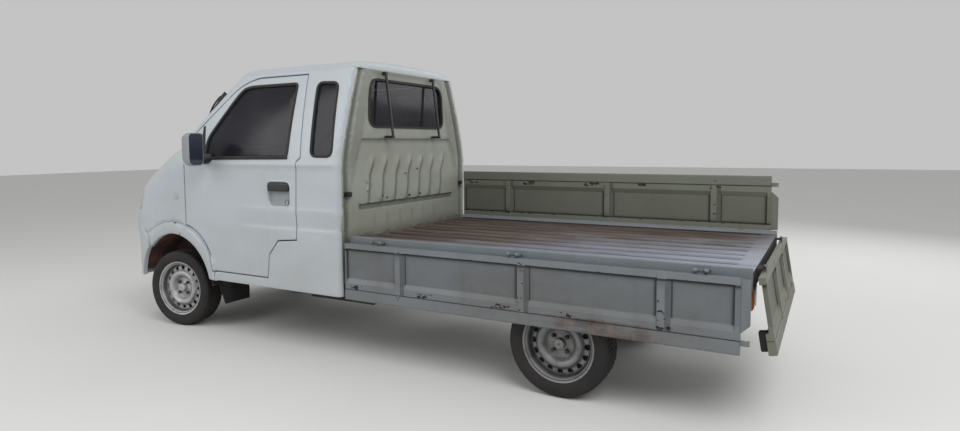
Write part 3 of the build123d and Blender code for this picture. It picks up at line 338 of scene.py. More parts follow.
class Above:
    """The cab from above: u is forward, v to the left."""

    @staticmethod
    def flat(points):
        return points[:, :2]

    @staticmethod
    def solid(uv):
        start = np.column_stack([uv, np.full(len(uv), 0.6)])
        points = meet(cab_field, start, np.array([[0.0, 0.0, 1.0]]), 1.3)
        return points, outward(cab_field, points)


class Behind:
    """The cab from behind: u is to the left, v up."""

    @staticmethod
    def flat(points):
        return points[:, 1:]

    @staticmethod
    def solid(uv):
        start = np.column_stack([np.full(len(uv), 0.5), uv])
        points = meet(cab_field, start, np.array([[-1.0, 0.0, 0.0]]), 0.6)
        return points, outward(cab_field, points)


def on_side(line):
    """Points of a side view, in X and Z, laid on the cab's left side."""
    start = np.column_stack([line[:, 0], np.zeros(len(line)), line[:, 1]])
    return meet(cab_field, start, np.array([[0.0, 1.0, 0.0]]), 0.9)


def on_top(line):
    """Points of a plan view laid on the cab's top."""
    return Above.solid(line)[0]


def on_front(y, z):
    """Places of the end view laid on the nose."""
    start = np.column_stack(np.broadcast_arrays(1.5, y, z))
    return meet(cab_field, start, np.array([[1.0, 0, 0]]), 0.9)


# Meshes from arrays.
def mark(thing, name, rule):
    """Keep a value at each point of a piece's mesh, worked out from where the points are."""
    points = np.empty(len(thing.data.vertices) * 3)
    thing.data.vertices.foreach_get("co", points)
    layer = thing.data.attributes.new(name, "FLOAT", "POINT")
    layer.data.foreach_set("value", np.asarray(rule(points.reshape(-1, 3)), np.float32))


def piece(name, points, faces, material, body, replaces=(), slot=None, smooth=35, recalculate=True):
    """A finished object from arrays of points and faces, riding on its body."""
    mesh = bpy.data.meshes.new(name)
    mesh.from_pydata(np.asarray(points).tolist(), [], [list(face) for face in faces])
    if recalculate:
        work = bmesh.new()
        work.from_mesh(mesh)
        bmesh.ops.remove_doubles(work, verts=work.verts, dist=1e-5)
        bmesh.ops.recalc_face_normals(work, faces=work.faces)
        work.to_mesh(mesh)
        work.free()
    mesh.polygons.foreach_set("use_smooth", np.ones(len(mesh.polygons), bool))
    mesh.set_sharp_from_angle(angle=math.radians(smooth))
    mesh.update()
    thing = bpy.data.objects.new(name, mesh)
    bpy.context.scene.collection.objects.link(thing)
    mesh.materials.append(material)
    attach(thing, body)
    if replaces:
        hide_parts(*replaces)
    return thing


def grid_faces(rows, columns, wrap_rows=False, wrap_columns=False):
    """The four-sided faces of a grid of points, row by row."""
    i = np.arange(rows if wrap_rows else rows - 1)
    j = np.arange(columns if wrap_columns else columns - 1)
    i, j = np.meshgrid(i, j, indexing="ij")
    i2, j2 = (i + 1) % rows, (j + 1) % columns
    corner = [i * columns + j, i2 * columns + j, i2 * columns + j2, i * columns + j2]
    return np.stack([c.ravel() for c in corner], 1)


def stacked(rows, size):
    """The faces of rings of points one behind another, closed at both ends."""
    ends = [list(range(size)), list(range((rows - 1) * size, rows * size))]
    return grid_faces(rows, size, False, True).tolist() + ends


def joined(meshes):
    """Several (points, faces) as one; faces of three and four corners may be mixed."""
    points, faces, count = [], [], 0
    for some_points, some_faces in meshes:
        points.append(np.asarray(some_points, float))
        faces += [tuple(int(i) + count for i in face) for face in some_faces]
        count += len(some_points)
    return np.concatenate(points), faces


def mirrored(mesh):
    """A shape's mirror image on the other side of the truck."""
    points, faces = mesh
    return np.asarray(points) * [1, -1, 1], [tuple(reversed(tuple(face))) for face in faces]


def both(mesh):
    """A shape on the left with its mirror image on the right."""
    return joined([mesh, mirrored(mesh)])


def tied(near, far, rows, columns):
    """Two grids of points as a closed sheet: the far one faces back, and a wall runs round the rim."""
    faces = grid_faces(rows, columns)
    total = rows * columns
    index = np.arange(total).reshape(rows, columns)
    rim = np.concatenate([index[0, :], index[1:, -1], index[-1, -2::-1], index[-2:0:-1, 0]])
    walls = np.stack([rim, np.roll(rim, -1), np.roll(rim, -1) + total, rim + total], 1)
    return np.concatenate([near, far]), faces.tolist() + (faces[:, ::-1] + total).tolist() + walls.tolist()


ROLL_STEPS = 4


def plate(chart, edge, holes=(), depth=0.02, roll=0.004, spacing=0.025, relief=None, features=()):
    """A sheet with thickness on a chart: its outer face is triangulated between its outline, its holes and
    feature lines, its edges roll over a quarter circle, and its back face lies a depth behind."""
    loops = [spaced(np.asarray(edge), spacing * 0.6)] + [spaced(np.asarray(hole), spacing * 0.6) for hole in holes]
    ways = [1] + [-1] * len(holes)
    rolls = [(roll(loop) if callable(roll) else np.full(len(loop), roll))[:, None] for loop in loops]
    rims = [moved_edge(loop, turn * way) for loop, turn, way in zip(loops, rolls, ways)]
    low, high = rims[0].min(0), rims[0].max(0)
    rows = int((high[1] - low[1]) / (spacing * 0.87)) + 1
    columns = int((high[0] - low[0]) / spacing) + 1
    i, j = np.meshgrid(np.arange(columns + 1), np.arange(rows + 1), indexing="ij")
    u, v = low[0] + (i + 0.5 * (j % 2)) * spacing, low[1] + j * spacing * 0.87
    lattice = np.column_stack([u.ravel(), v.ravel()])
    lines = [np.asarray(line) for line in features]
    free = np.concatenate([lattice] + lines) if lines else lattice
    keep = inside(free, rims[0]) & (edge_distance(free, rims[0]) > spacing * 0.25)
    for rim in rims[1:]:
        keep &= ~inside(free, rim) & (edge_distance(free, rim) > spacing * 0.25)
    if lines:
        on_line = np.arange(len(free)) >= len(lattice)
        all_lines = np.concatenate(lines)
        gap = np.full(len(free), np.inf)
        for start in range(0, len(free), 4000):
            block = free[start:start + 4000]
            gap[start:start + 4000] = np.sqrt(((block[:, None] - all_lines[None]) ** 2).sum(2).min(1))
        keep &= on_line | (gap > spacing * 0.3)
    flat = np.concatenate(rims + [free[keep]])
    bounds, count = [], 0
    for rim in rims:
        own = np.arange(count, count + len(rim))
        bounds += list(zip(own.tolist(), np.roll(own, -1).tolist()))
        count += len(rim)
    verts, _, triangles, sources, _, _ = delaunay_2d_cdt(flat.tolist(), bounds, [], 0, 1e-7)
    flat_out = np.array([tuple(v) for v in verts])
    triangles = np.array(triangles)
    middle = flat_out[triangles].mean(1)
    keep = inside(middle, rims[0])
    for rim in rims[1:]:
        keep &= ~inside(middle, rim)
    triangles = triangles[keep]
    where = {}
    for index, source in enumerate(sources):
        for original in source:
            where[original] = index
    sheet, normal = chart.solid(flat_out)
    lift = relief(sheet) if relief else np.zeros(len(sheet))
    outer = sheet + normal * lift[:, None]
    back = sheet + normal * (lift - depth)[:, None]
    total = len(outer)
    meshes_points = [outer, back]
    faces = triangles.tolist() + (triangles[:, ::-1] + total).tolist()
    base = 2 * total
    start = 0
    for loop, turned_by, way in zip(loops, rolls, ways):
        size = len(loop)
        top = np.array([where[start + k] for k in range(size)])
        start += size
        previous = top
        for step in range(1, ROLL_STEPS + 1):
            turn = math.pi / 2 * step / ROLL_STEPS
            line = moved_edge(loop, turned_by * way * (1 - math.sin(turn)))
            points, out = chart.solid(line)
            lift = (relief(points) if relief else np.zeros(size)) - turned_by[:, 0] * (1 - math.cos(turn))
            meshes_points.append(points + out * lift[:, None])
            current = np.arange(base, base + size)
            base += size
            faces += np.stack([previous, np.roll(previous, -1), np.roll(current, -1), current], 1).tolist()
            previous = current
        last = top + total
        points, out = chart.solid(loop)
        lift = (relief(points) if relief else np.zeros(size)) - depth
        meshes_points.append(points + out * lift[:, None])
        current = np.arange(base, base + size)
        base += size
        faces += np.stack([previous, np.roll(previous, -1), np.roll(current, -1), current], 1).tolist()
        faces += np.stack([current, np.roll(current, -1), np.roll(last, -1), last], 1).tolist()
    return np.concatenate(meshes_points), faces


def swept(profile, path, up, closed=False):
    """A closed profile carried along a path: each point of the profile lies across and up from the path."""
    path, up = np.asarray(path, float), np.asarray(up, float)
    if closed:
        ahead = np.roll(path, -1, 0) - np.roll(path, 1, 0)
    else:
        ahead = np.gradient(path, axis=0)
    ahead /= np.linalg.norm(ahead, axis=1)[:, None]
    up = np.broadcast_to(up, path.shape)
    across = np.cross(ahead, up)
    across /= np.linalg.norm(across, axis=1)[:, None]
    upright = np.cross(across, ahead)
    profile = np.asarray(profile, float)
    aside, above = profile[None, :, 0, None], profile[None, :, 1, None]
    points = path[:, None] + aside * across[:, None] + above * upright[:, None]
    rows, columns = points.shape[:2]
    faces = grid_faces(rows, columns, True, True).tolist() if closed else stacked(rows, columns)
    return points.reshape(-1, 3), faces


def circle(radius, steps=16):
    """A circle's outline round the origin."""
    turn = np.arange(steps) / steps * 2 * math.pi
    return np.column_stack([np.cos(turn), np.sin(turn)]) * radius


def soften(section, rounds=2):
    """A closed section with its corners cut, once in each round, so that the swept form has rounded edges."""
    section = np.asarray(section, float)
    for _ in range(rounds):
        ahead = np.roll(section, -1, 0)
        section = np.stack([section * 0.78 + ahead * 0.22, section * 0.22 + ahead * 0.78], 1).reshape(-1, 2)
    return section


def tube(path, radius, steps=14):
    """A round bar along a path."""
    path = np.asarray(path, float)
    way = path[-1] - path[0]
    up = (0, 0, 1) if abs(way[2]) < 0.8 * np.linalg.norm(way) else (1, 0, 0)
    return swept(circle(radius, steps), path, up)


def soft_box(low, high, radius):
    """A box with rounded edges: a sphere of the radius whose eight parts are drawn out to the corners."""
    low, high = np.asarray(low, float), np.asarray(high, float)
    steps = 3
    t = np.sin(np.linspace(0, math.pi / 2, steps + 1)) ** 2
    half = (high - low) / 2
    core = np.maximum(half - radius, 0)
    line = np.concatenate([-1 + t * 0.5, 1 - t[::-1] * 0.5])
    u, v = np.meshgrid(line, line, indexing="ij")
    one = np.ones_like(u)
    points, faces = [], []
    for axis in range(3):
        for side in (-1, 1):
            face = [u, v]
            face.insert(axis, one * side)
            cube = np.stack(face, -1).reshape(-1, 3)
            offset = np.sign(cube) * np.clip(np.abs(cube) - 0.5, 0, None) * 2
            length = np.maximum(np.linalg.norm(offset, axis=1), 1e-9)
            ball = offset / length[:, None]
            points.append(core * np.sign(cube) + ball * np.minimum(radius, half))
            faces.append(grid_faces(len(line), len(line)))
    size = len(points[0])
    faces = np.concatenate([face + i * size for i, face in enumerate(faces)])
    return np.concatenate(points) + (low + high) / 2, faces.tolist()


def lathe(section, steps=96):
    """A section of radius and height turned once round the Z axis; its two ends close on themselves."""
    section = np.asarray(section, float)
    turn = np.arange(steps) / steps * 2 * math.pi
    points = np.stack([
        section[None, :, 0] * np.cos(turn)[:, None],
        section[None, :, 0] * np.sin(turn)[:, None],
        np.broadcast_to(section[None, :, 1], (steps, len(section))),
    ], -1)
    return points.reshape(-1, 3), grid_faces(steps, len(section), True, True).tolist()


def placed(mesh, matrix):
    """A shape moved by a matrix."""
    points, faces = mesh
    matrix = np.array(matrix)
    return np.asarray(points) @ matrix[:3, :3].T + matrix[:3, 3], faces


def laid_along(across, up, out, place):
    """The matrix that lays a shape's X, Y and Z along three ways from a place."""
    matrix = np.eye(4)
    matrix[:3, :3] = np.column_stack([across, up, out])
    matrix[:3, 3] = place
    return matrix


# Camera, light and ground.
CAMERA_PLACE = (-2.3796, 3.5541, 1.2428)
CAMERA_YAW, CAMERA_PITCH, CAMERA_ROLL = (math.radians(a) for a in (-59.987, 3.980, -0.475))
FOCAL_PIXELS = 647.8
PHOTO_WIDTH = 960
CENTRE_OFFSET_PIXELS = (-19.4, -26.2)
LAMP_WIDTH = 4.5
SKY_STRENGTH = 0.55


def add_camera():
    """The camera looks along its yaw and pitch, rolled about that line; its shift stands for the picture's crop."""
    ahead = np.array([
        math.cos(CAMERA_PITCH) * math.cos(CAMERA_YAW),
        math.cos(CAMERA_PITCH) * math.sin(CAMERA_YAW),
        -math.sin(CAMERA_PITCH),
    ])
    right = np.cross(ahead, (0, 0, 1))
    right /= np.linalg.norm(right)
    up = np.cross(right, ahead)
    turned_right = math.cos(CAMERA_ROLL) * right + math.sin(CAMERA_ROLL) * up
    turned_up = math.cos(CAMERA_ROLL) * up - math.sin(CAMERA_ROLL) * right
    data = bpy.data.cameras.new("view")
    data.sensor_width = 36
    data.lens = FOCAL_PIXELS / PHOTO_WIDTH * data.sensor_width
    data.shift_x = -CENTRE_OFFSET_PIXELS[0] / PHOTO_WIDTH
    data.shift_y = CENTRE_OFFSET_PIXELS[1] / PHOTO_WIDTH
    camera = bpy.data.objects.new("view", data)
    camera.matrix_world = Matrix(laid_along(turned_right, turned_up, -ahead, CAMERA_PLACE))
    bpy.context.scene.collection.objects.link(camera)
    bpy.context.scene.camera = camera


def add_lamp(name, place, target, power):
    """A round lamp aimed at a target, with its power in watts."""
    data = bpy.data.lights.new(name, "AREA")
    data.shape = "DISK"
    data.size = LAMP_WIDTH
    data.energy = power
    lamp = bpy.data.objects.new(name, data)
    way = np.array(target, float) - np.array(place, float)
    lamp.matrix_world = Matrix(laid_along(*look_axes(way), place))
    bpy.context.scene.collection.objects.link(lamp)


def look_axes(way):
    """The X, Y and Z axes of a lamp whose light goes along a direction."""
    back = -way / np.linalg.norm(way)
    right = np.cross((0, 0, 1), back)
    right /= np.linalg.norm(right)
    return right, np.cross(back, right), back


def tone(red, green, blue):
    """A colour as it looks on a screen, 0 to 255, as the linear values that a shader takes."""
    value = np.array([red, green, blue]) / 255
    linear = np.where(value <= 0.04045, value / 12.92, ((value + 0.055) / 1.055) ** 2.4)
    return (*linear.tolist(), 1.0)


# Finishes: shader values are worked like numbers.
class Value:
    """A number or vector in a shader, worked with + - * and compared by smooth steps."""

    def __init__(self, finish, socket):
        self.finish = finish
        self.socket = socket

    def maths(self, operation, *others):
        """One sum on this value and others."""
        inputs = dict(enumerate((self, *others)))
        return self.finish.value("ShaderNodeMath", {"operation": operation}, inputs)

    def __add__(self, other):
        return self.maths("ADD", other)

    def __mul__(self, other):
        return self.maths("MULTIPLY", other)

    def __sub__(self, other):
        return self.maths("SUBTRACT", other)

    def __rsub__(self, other):
        return self.maths("MULTIPLY_ADD", -1.0, other)

    __radd__ = __add__
    __rmul__ = __mul__

    def step(self, low, high):
        """0 below low, 1 above high and a smooth rise between; low may be the larger."""
        settings = {"interpolation_type": "SMOOTHSTEP"}
        return self.finish.value("ShaderNodeMapRange", settings, {0: self, 1: low, 2: high, 3: 0.0, 4: 1.0})

    def larger(self, other):
        return self.maths("MAXIMUM", other)

    def smaller(self, other):
        return self.maths("MINIMUM", other)

    def size(self):
        """The value without its sign."""
        return self.maths("ABSOLUTE")


class Finish:
    """A procedural material on one Principled shader, with its place on the piece in metres."""

    def __init__(self, name, **constants):
        self.material = bpy.data.materials.new(name)
        self.material.use_nodes = True
        self.tree = self.material.node_tree
        self.shader = next(n for n in self.tree.nodes if n.type == "BSDF_PRINCIPLED")
        for socket, value in constants.items():
            self.shader.inputs[socket.replace("_", " ")].default_value = value
        self.place = Value(self, self.node("ShaderNodeTexCoord").outputs["Object"])
        parts = self.node("ShaderNodeSeparateXYZ", {}, {0: self.place})
        self.x, self.y, self.z = (Value(self, parts.outputs[i]) for i in range(3))

    def node(self, kind, settings=None, inputs=None):
        """A new shader node with its settings and inputs; an input is a constant or a worked value."""
        made = self.tree.nodes.new(kind)
        for key, value in (settings or {}).items():
            setattr(made, key, value)
        for key, value in (inputs or {}).items():
            self.feed(made.inputs[key], value)
        return made

    def value(self, kind, settings=None, inputs=None, output=0):
        return Value(self, self.node(kind, settings, inputs).outputs[output])

    def feed(self, socket, value):
        if isinstance(value, Value):
            self.tree.links.new(value.socket, socket)
        else:
            socket.default_value = value

    def mix(self, first, second, share):
        """From the first colour at share 0 to the second at 1."""
        return self.value("ShaderNodeMix", {"data_type": "RGBA"}, {0: share, 6: first, 7: second}, 2)

    def stretched(self, scale):
        """The place on the piece, drawn out or in along each axis."""
        return self.value("ShaderNodeVectorMath", {"operation": "MULTIPLY"}, {0: self.place, 1: scale})

    def noise(self, scale, detail=4.0, rough=0.55, stretch=(1, 1, 1), seed=0.0):
        """Cloudy values about 0.5; scale is how many clouds lie in a metre."""
        inputs = {"Vector": self.stretched(stretch), "W": seed, "Scale": scale, "Detail": detail, "Roughness": rough}
        return self.value("ShaderNodeTexNoise", {"noise_dimensions": "4D"}, inputs)

    def marked(self, name):
        """A value kept at the mesh's points."""
        return self.value("ShaderNodeAttribute", {"attribute_name": name}, None, 2)

    def colour(self, value):
        self.feed(self.shader.inputs["Base Color"], value)

    def rough(self, value):
        self.feed(self.shader.inputs["Roughness"], value)

    def bump(self, height, distance, strength=1.0):
        """Fine relief by shading; distance is the depth in metres of height 1."""
        self.feed(self.shader.inputs["Normal"], self.value(
            "ShaderNodeBump", {}, {"Height": height, "Distance": distance, "Strength": strength}))


def painted(name, clean, dusty, chipped, dust_share=0.5, shade_tone=tone(52, 52, 50)):
    """Old paint: faint clouds of dust, road dirt toward the ground, chips down to rusty primer. Marked places are
    darkened toward the shade tone by painted shade with some grime, stained by rust or worn."""
    paint = Finish(name, Coat_Weight=0.15, Coat_Roughness=0.3, Specular_IOR_Level=0.45)
    cloud = paint.noise(2.2, 5.0, 0.6, (1, 1, 1.8))
    streak = paint.noise(9.0, 4.0, 0.6, (1, 1, 0.12), 3.0)
    low = paint.z.step(0.95, 0.35)
    dust = (cloud.step(0.38, 0.72) * 0.45 + streak.step(0.5, 0.8) * 0.25 + low * 0.45) * dust_share
    colour = paint.mix(clean, dusty, dust)
    smudge = paint.noise(30.0, 5.0, 0.65, (1, 1, 0.5), 9.0)
    runs = paint.noise(8.0, 5.0, 0.7, (0.4, 1, 2.6), 15.0)
    rust = (paint.marked("stain") * 0.48 + runs).step(0.74, 1.06)
    colour = paint.mix(colour, paint.mix(tone(100, 70, 50), tone(56, 46, 42), smudge.step(0.38, 0.56)), rust * 0.85)
    # Marked shade: painted shade, with some grime, that darkens the paint toward the shade tone.
    shade_and_grime = (paint.marked("shade") * (0.75 + smudge * 0.5)).smaller(1.0)
    colour = paint.mix(colour, shade_tone, shade_and_grime)
    speck = paint.noise(160.0, 2.0, 0.5, (1, 1, 1), 7.0)
    patch = paint.noise(6.0, 3.0, 0.5, (1, 1, 1), 11.0)
    torn = paint.noise(52.0, 4.0, 0.6, (0.6, 0.6, 1), 13.0)
    nicks = speck.step(0.74, 0.78) * patch.step(0.52, 0.62)
    chips = nicks.larger((torn + paint.marked("wear") * 0.25).step(0.72, 0.75))
    paint.colour(paint.mix(colour, paint.mix(chipped, tone(26, 24, 24), torn.step(0.40, 0.52)), chips))
    paint.rough(0.44 + dust * 0.35 + chips * 0.3 + shade_and_grime * 0.2)
    orange_peel = paint.noise(420.0, 1.0, 0.5)
    paint.bump(orange_peel * 0.15 + chips * -1.0, 0.0004, 0.35)
    return paint.material


def plain(name, base, other, roughness, scale=30.0, metallic=0.0, relief=0.0004):
    """A used surface of one colour with clouds of a second, and a fine grain."""
    finish = Finish(name, Metallic=metallic)
    cloud = finish.noise(scale / 6, 5.0, 0.6)
    grain = finish.noise(scale * 12, 3.0, 0.6)
    finish.colour(finish.mix(base, other, cloud.step(0.35, 0.7) * 0.8 + grain * 0.2))
    finish.rough(roughness + cloud * 0.12 - 0.06)
    finish.bump(grain, relief, 0.5)
    return finish.material


cab_paint = painted("cab_paint", tone(170, 177, 182), tone(146, 146, 142), tone(90, 66, 52))
# The rear wall's paint is set darker than the cab's paint, as painted shade; its last tone is the colour of its
# painted shade.
rear_paint_shaded = painted("cab_rear_paint", tone(138, 142, 133),
                     tone(114, 112, 98), tone(84, 62, 48), 0.9, tone(50, 51, 46))
# The gates' paints are set darker than the cab's paint, partly as painted shade; the last tone of each is the colour
# of its painted shade.
gate_paint = painted("gate_paint", tone(110, 119, 126), tone(90, 87, 82), tone(74, 44, 32), 0.9, tone(40, 38, 38))
inner_gate_paint = painted("inner_gate_paint", tone(106, 110, 99),
                           tone(90, 86, 72), tone(74, 48, 36), 0.9, tone(38, 34, 30))
rubber = plain("rubber", tone(18, 18, 19), tone(30, 29, 28), 0.7)
trim = plain("black_trim", tone(26, 27, 29), tone(42, 42, 42), 0.5, 60)
glass_dark = Finish("tinted_glass", Specular_IOR_Level=0.22, Alpha=0.72)
glass_dark.colour(glass_dark.mix(tone(26, 27, 33), tone(44, 43, 50), glass_dark.noise(2.0).step(0.4, 0.7)))
glass_dark.rough(0.10 + glass_dark.noise(5.0).step(0.4, 0.8) * 0.08)
glass_dark = glass_dark.material


# The cab's panels.
def side_press(points):
    """How far the cab's sides are pressed out or in: two ledges with a lean-in between them, fading forward, and a
    raised band round the wheel arch that rolls in at the opening."""
    x, y, z = points.T
    heights = [0.365, 0.450, 0.742, 0.752, 0.861, 0.871, 2.0]
    lifts = [0.000, -0.003, -0.004, -0.0085, 0.0025, 0.000, 0.000]
    ledges = np.interp(z, heights, lifts) * (1 - smooth_step(x, 0.66, 1.00))
    on_wall = smooth_step(np.abs(y), 0.60, 0.70)
    radius = np.hypot(x - ARCH[0], z - ARCH[1])
    reach = ARCH_RADIUS + FLARE_WIDTH
    flare = smooth_step(radius, reach, reach - 0.007)
    flare = flare * (1 - 0.5 * smooth_step(radius, ARCH_RADIUS + 0.030, ARCH_RADIUS))
    return (ledges + 0.017 * flare) * on_wall


DOOR = traced([
    (DOOR_FRONT, COWL_Z + 0.012), (DOOR_FRONT, 0.720), (DOOR_FRONT - 0.263, DOOR_FOOT, DOOR_FRONT - 0.185, 0.610),
    (0.640, DOOR_FOOT), (0.622, 0.576), (0.545, 0.668), (DOOR_REAR + 0.014, 0.682), (DOOR_REAR, 1.150),
    (DOOR_REAR - 0.027, 1.173), (0.411, 1.672), (0.800, 1.672), (1.045, 1.568, 0.938, 1.638),
])
DOOR_GAP = 0.007


def to_walls(line, step=0.012, closed=True):
    """An outline or line of the side view laid round the cab's left wall, as way round and height."""
    return Around.flat(on_side(spaced(np.asarray(line, float), step, closed)))


class Turned:
    """Seen from a point inside: u is the turn about the vertical and v the rise, both as lengths at a radius."""

    def __init__(self, centre, radius):
        self.centre = np.array(centre)
        self.radius = radius

    def flat(self, points):
        way = points - self.centre
        turn = np.arctan2(way[:, 1], way[:, 0])
        rise = np.arctan2(way[:, 2], np.hypot(way[:, 0], way[:, 1]))
        return np.column_stack([turn, rise]) * self.radius

    def solid(self, uv):
        turn, rise = (uv / self.radius).T
        way = np.column_stack([np.cos(rise) * np.cos(turn), np.cos(rise) * np.sin(turn), np.sin(rise)])
        points = meet(cab_field, np.tile(self.centre, (len(uv), 1)), way, 1.6)
        return points, outward(cab_field, points)


class Dome:
    """Seen from a point inside onto a level sheet above it: u forward and v to the left of that point."""

    def __init__(self, centre, height):
        self.centre = np.array(centre)
        self.height = height

    def flat(self, points):
        way = points - self.centre
        return way[:, :2] / way[:, 2:] * self.height

    def solid(self, uv):
        way = np.column_stack([uv, np.full(len(uv), self.height)])
        way /= np.linalg.norm(way, axis=1)[:, None]
        points = meet(cab_field, np.tile(self.centre, (len(uv), 1)), way, 1.6)
        return points, outward(cab_field, points)


nose_chart = Turned((1.0, 0, 0.6), 0.9)
roof_chart = Dome((0.52, 0, 1.25), 0.5)


def two_sides(name, mesh, material, body, replaces, slot=None):
    """A piece on the left and its mirror image on the right."""
    pair = []
    for side, made in (("left", mesh), ("right", mirrored(mesh))):
        node = replaces.format(side) if replaces else None
        pair.append(piece(name.format(side), *made, material, body.format(side), (node,) if node else (), slot))
    return pair


# Doors.
door_window = rounded([
    (DOOR_FRONT - 0.200, BELT + 0.048), (DOOR_FRONT - 0.200, BELT + 0.172), (0.962, 1.590), (0.905, 1.622),
    (0.472, 1.622), (0.452, BELT + 0.056),
], [0.03, 0.05, 0.09, 0.09, 0.03, 0.03])
CUP_DEPTH = 0.021
HANDLE = np.array([[DOOR_REAR + 0.048, BELT - 0.248], [DOOR_REAR + 0.240, BELT - 0.092]])
handle_edge = rounded([HANDLE[0], (HANDLE[1, 0], HANDLE[0, 1]), HANDLE[1], (HANDLE[0, 0], HANDLE[1, 1])], 0.045)


def handle_cup(points):
    """The depth of the scoop behind the door's handle, with a low lip round it."""
    flat = points[:, [0, 2]]
    near = np.abs(flat - HANDLE.mean(0)).max(1) < 0.14
    depth = np.zeros(len(points))
    distance = edge_distance(flat[near], handle_edge) * np.where(inside(flat[near], handle_edge), 1, -1)
    scoop = smooth_step(distance, 0.003, 0.016) * CUP_DEPTH
    lip = bump(distance, -0.001, 0.001, 0.005) * 0.0022
    depth[near] = scoop - lip
    return depth


def belt_ridge(z):
    """A rounded ledge pressed along the cab under its windows."""
    return 0.007 * bump(z, BELT + 0.010, 0.004, 0.018)


def level_line(across, z):
    """Places across a view, all at one height."""
    return np.column_stack(np.broadcast_arrays(across, z))


def door_relief(points):
    """The door's face: the side's pressed lines, the handle's scoop and the ledge under the window."""
    return side_press(points) - handle_cup(points) + belt_ridge(points[:, 2])


crease_lines = [level_line(np.arange(0.09, 1.1, 0.012), z) for z in (0.871, 0.866, 0.861, 0.752, 0.747, 0.742)]
belt_lines = [level_line(np.arange(0.09, 1.44, 0.02), BELT + z) for z in (-0.012, -0.003, 0.006, 0.014, 0.023, 0.032)]
handle_lines = [spaced(moved_edge(handle_edge, inset), 0.006)
                for inset in (-0.007, -0.001, 0.004, 0.009, 0.014, 0.018)]
side_features = [Around.flat(on_side(line)) for line in crease_lines + belt_lines]
door_features = side_features + [Around.flat(on_side(line)) for line in handle_lines]
door_mesh = plate(
    Around, to_walls(DOOR), [to_walls(door_window)], 0.034, 0.005, 0.024, door_relief, door_features)
# Painted shade darkens each door's handle scoop, the more the deeper it is.
for leaf in two_sides("door_{}_leaf", door_mesh, cab_paint, "door_{}", "door_{}", "cab_paint"):
    mark(leaf, "shade", lambda points:
         np.clip(handle_cup(points) / CUP_DEPTH, 0, 1) * 0.45 * (np.abs(points[:, 1]) > 0.69))

# Cab sides, each wrapping its rear corner and carrying the pillars.
CORNER_SEAM = 0.030
FILLED_JOINT = 0.0002
PANEL_GAP = 0.004


def half_width(z):
    """The cab's half width at a height."""
    return on_side(np.column_stack([np.full(len(z), 0.6), z]))[:, 1]


def rear_seam(z):
    """The seam between the side and the rear wall, a little inside the corner."""
    y = half_width(z) - CORNER_SEAM
    return Around.flat(np.column_stack([np.full(len(z), CAB_REAR), y, z]))


def level_edge(z, start, end, steps):
    """A level stretch of an outline on the walls, from one way round to another."""
    return level_line(np.linspace(start, end, steps), z)


def screen_edge(z, inset):
    """The windscreen's edge at a height, an inset from the cab's side."""
    x = COWL - (z - COWL_Z + 0.010) * (COWL - ROOF_FRONT - 0.048) / (ROOF_TOP - 0.077 - COWL_Z + 0.010)
    y = half_width(z) - inset
    return Around.flat(np.column_stack([x, y, z]))


PILLAR = 0.052
rise = np.linspace(SILL + PANEL_GAP, ROOF_SPLIT - FILLED_JOINT, 60)
pillar_rise = np.linspace(ROOF_SPLIT - FILLED_JOINT, COWL_Z + PANEL_GAP, 30)
rear_edge = rear_seam(rise)
front_edge = screen_edge(pillar_rise, PILLAR)
door_gap_line = moved_edge(spaced(DOOR, 0.012), -DOOR_GAP)
door_gap_uv = Around.flat(on_side(door_gap_line))
step_x = ARCH[0] - ARCH_RADIUS - 0.055
# The door's outline runs from the A-pillar's foot down, back, up the rear edge and forward under the roof.
first = np.argmax(door_gap_line[:, 1] < COWL_Z + PANEL_GAP)
sill_end = np.argmax((door_gap_line[:, 0] < step_x) & (door_gap_line[:, 1] < 0.5))
around_door = np.concatenate([door_gap_uv[sill_end:], door_gap_uv[:first]])
foot = Around.flat(on_side(np.array([[step_x, SILL + PANEL_GAP], [CAB_REAR + 0.05, SILL + PANEL_GAP]])))
side_edge = np.concatenate([
    rear_edge,
    level_edge(ROOF_SPLIT - FILLED_JOINT, rear_edge[-1, 0], front_edge[0, 0], 60)[1:-1],
    front_edge,
    level_edge(COWL_Z + PANEL_GAP, front_edge[-1, 0], around_door[-1, 0], 20)[1:-1],
    around_door[::-1],
    level_edge(SILL + PANEL_GAP, foot[0, 0], rear_edge[0, 0], 60)[:-1],
])
quarter_window = rounded([(0.268, 1.178), (0.312, 1.620), (0.148, 1.612), (0.105, 1.176)], 0.045)


def quarter_relief(points):
    """The side behind the door: its pressed lines and the ledge, which ends at the rear corner."""
    x, y, z = points.T
    return side_press(points) + belt_ridge(z) * smooth_step(np.abs(y), 0.69, 0.72)


def side_roll(line):
    """The panel's edges roll over, apart from the joint that is filled and painted over under the roof."""
    return np.where(line[:, 1] > ROOF_SPLIT - 0.010, 0.0004, 0.004)


side_mesh = plate(
    Around, side_edge, [to_walls(quarter_window)], 0.030, side_roll, 0.024, quarter_relief, side_features)
two_sides("cab_side_{}_panel", side_mesh, cab_paint, "chassis", "cab_side_{}", "cab_paint")

# Roof.
roof_rim = Around.solid(level_edge(ROOF_SPLIT + FILLED_JOINT, ring_length[0], ring_length[-1], 500)[:-1])[0]


def roof_relief(points):
    """Five low swages along the roof."""
    x, y, z = points.T
    swage = sum(bump(y, centre, 0.004, 0.014) for centre in (-0.34, -0.17, 0.0, 0.17, 0.34))
    return 0.004 * swage * bump(x, 0.50, 0.30, 0.05)


roof_mesh = plate(roof_chart, roof_chart.flat(roof_rim), [], 0.030, 0.0004, 0.026, roof_relief)
piece("roof_panel", *roof_mesh, cab_paint, "chassis", ("cab_roof",), "cab_paint")

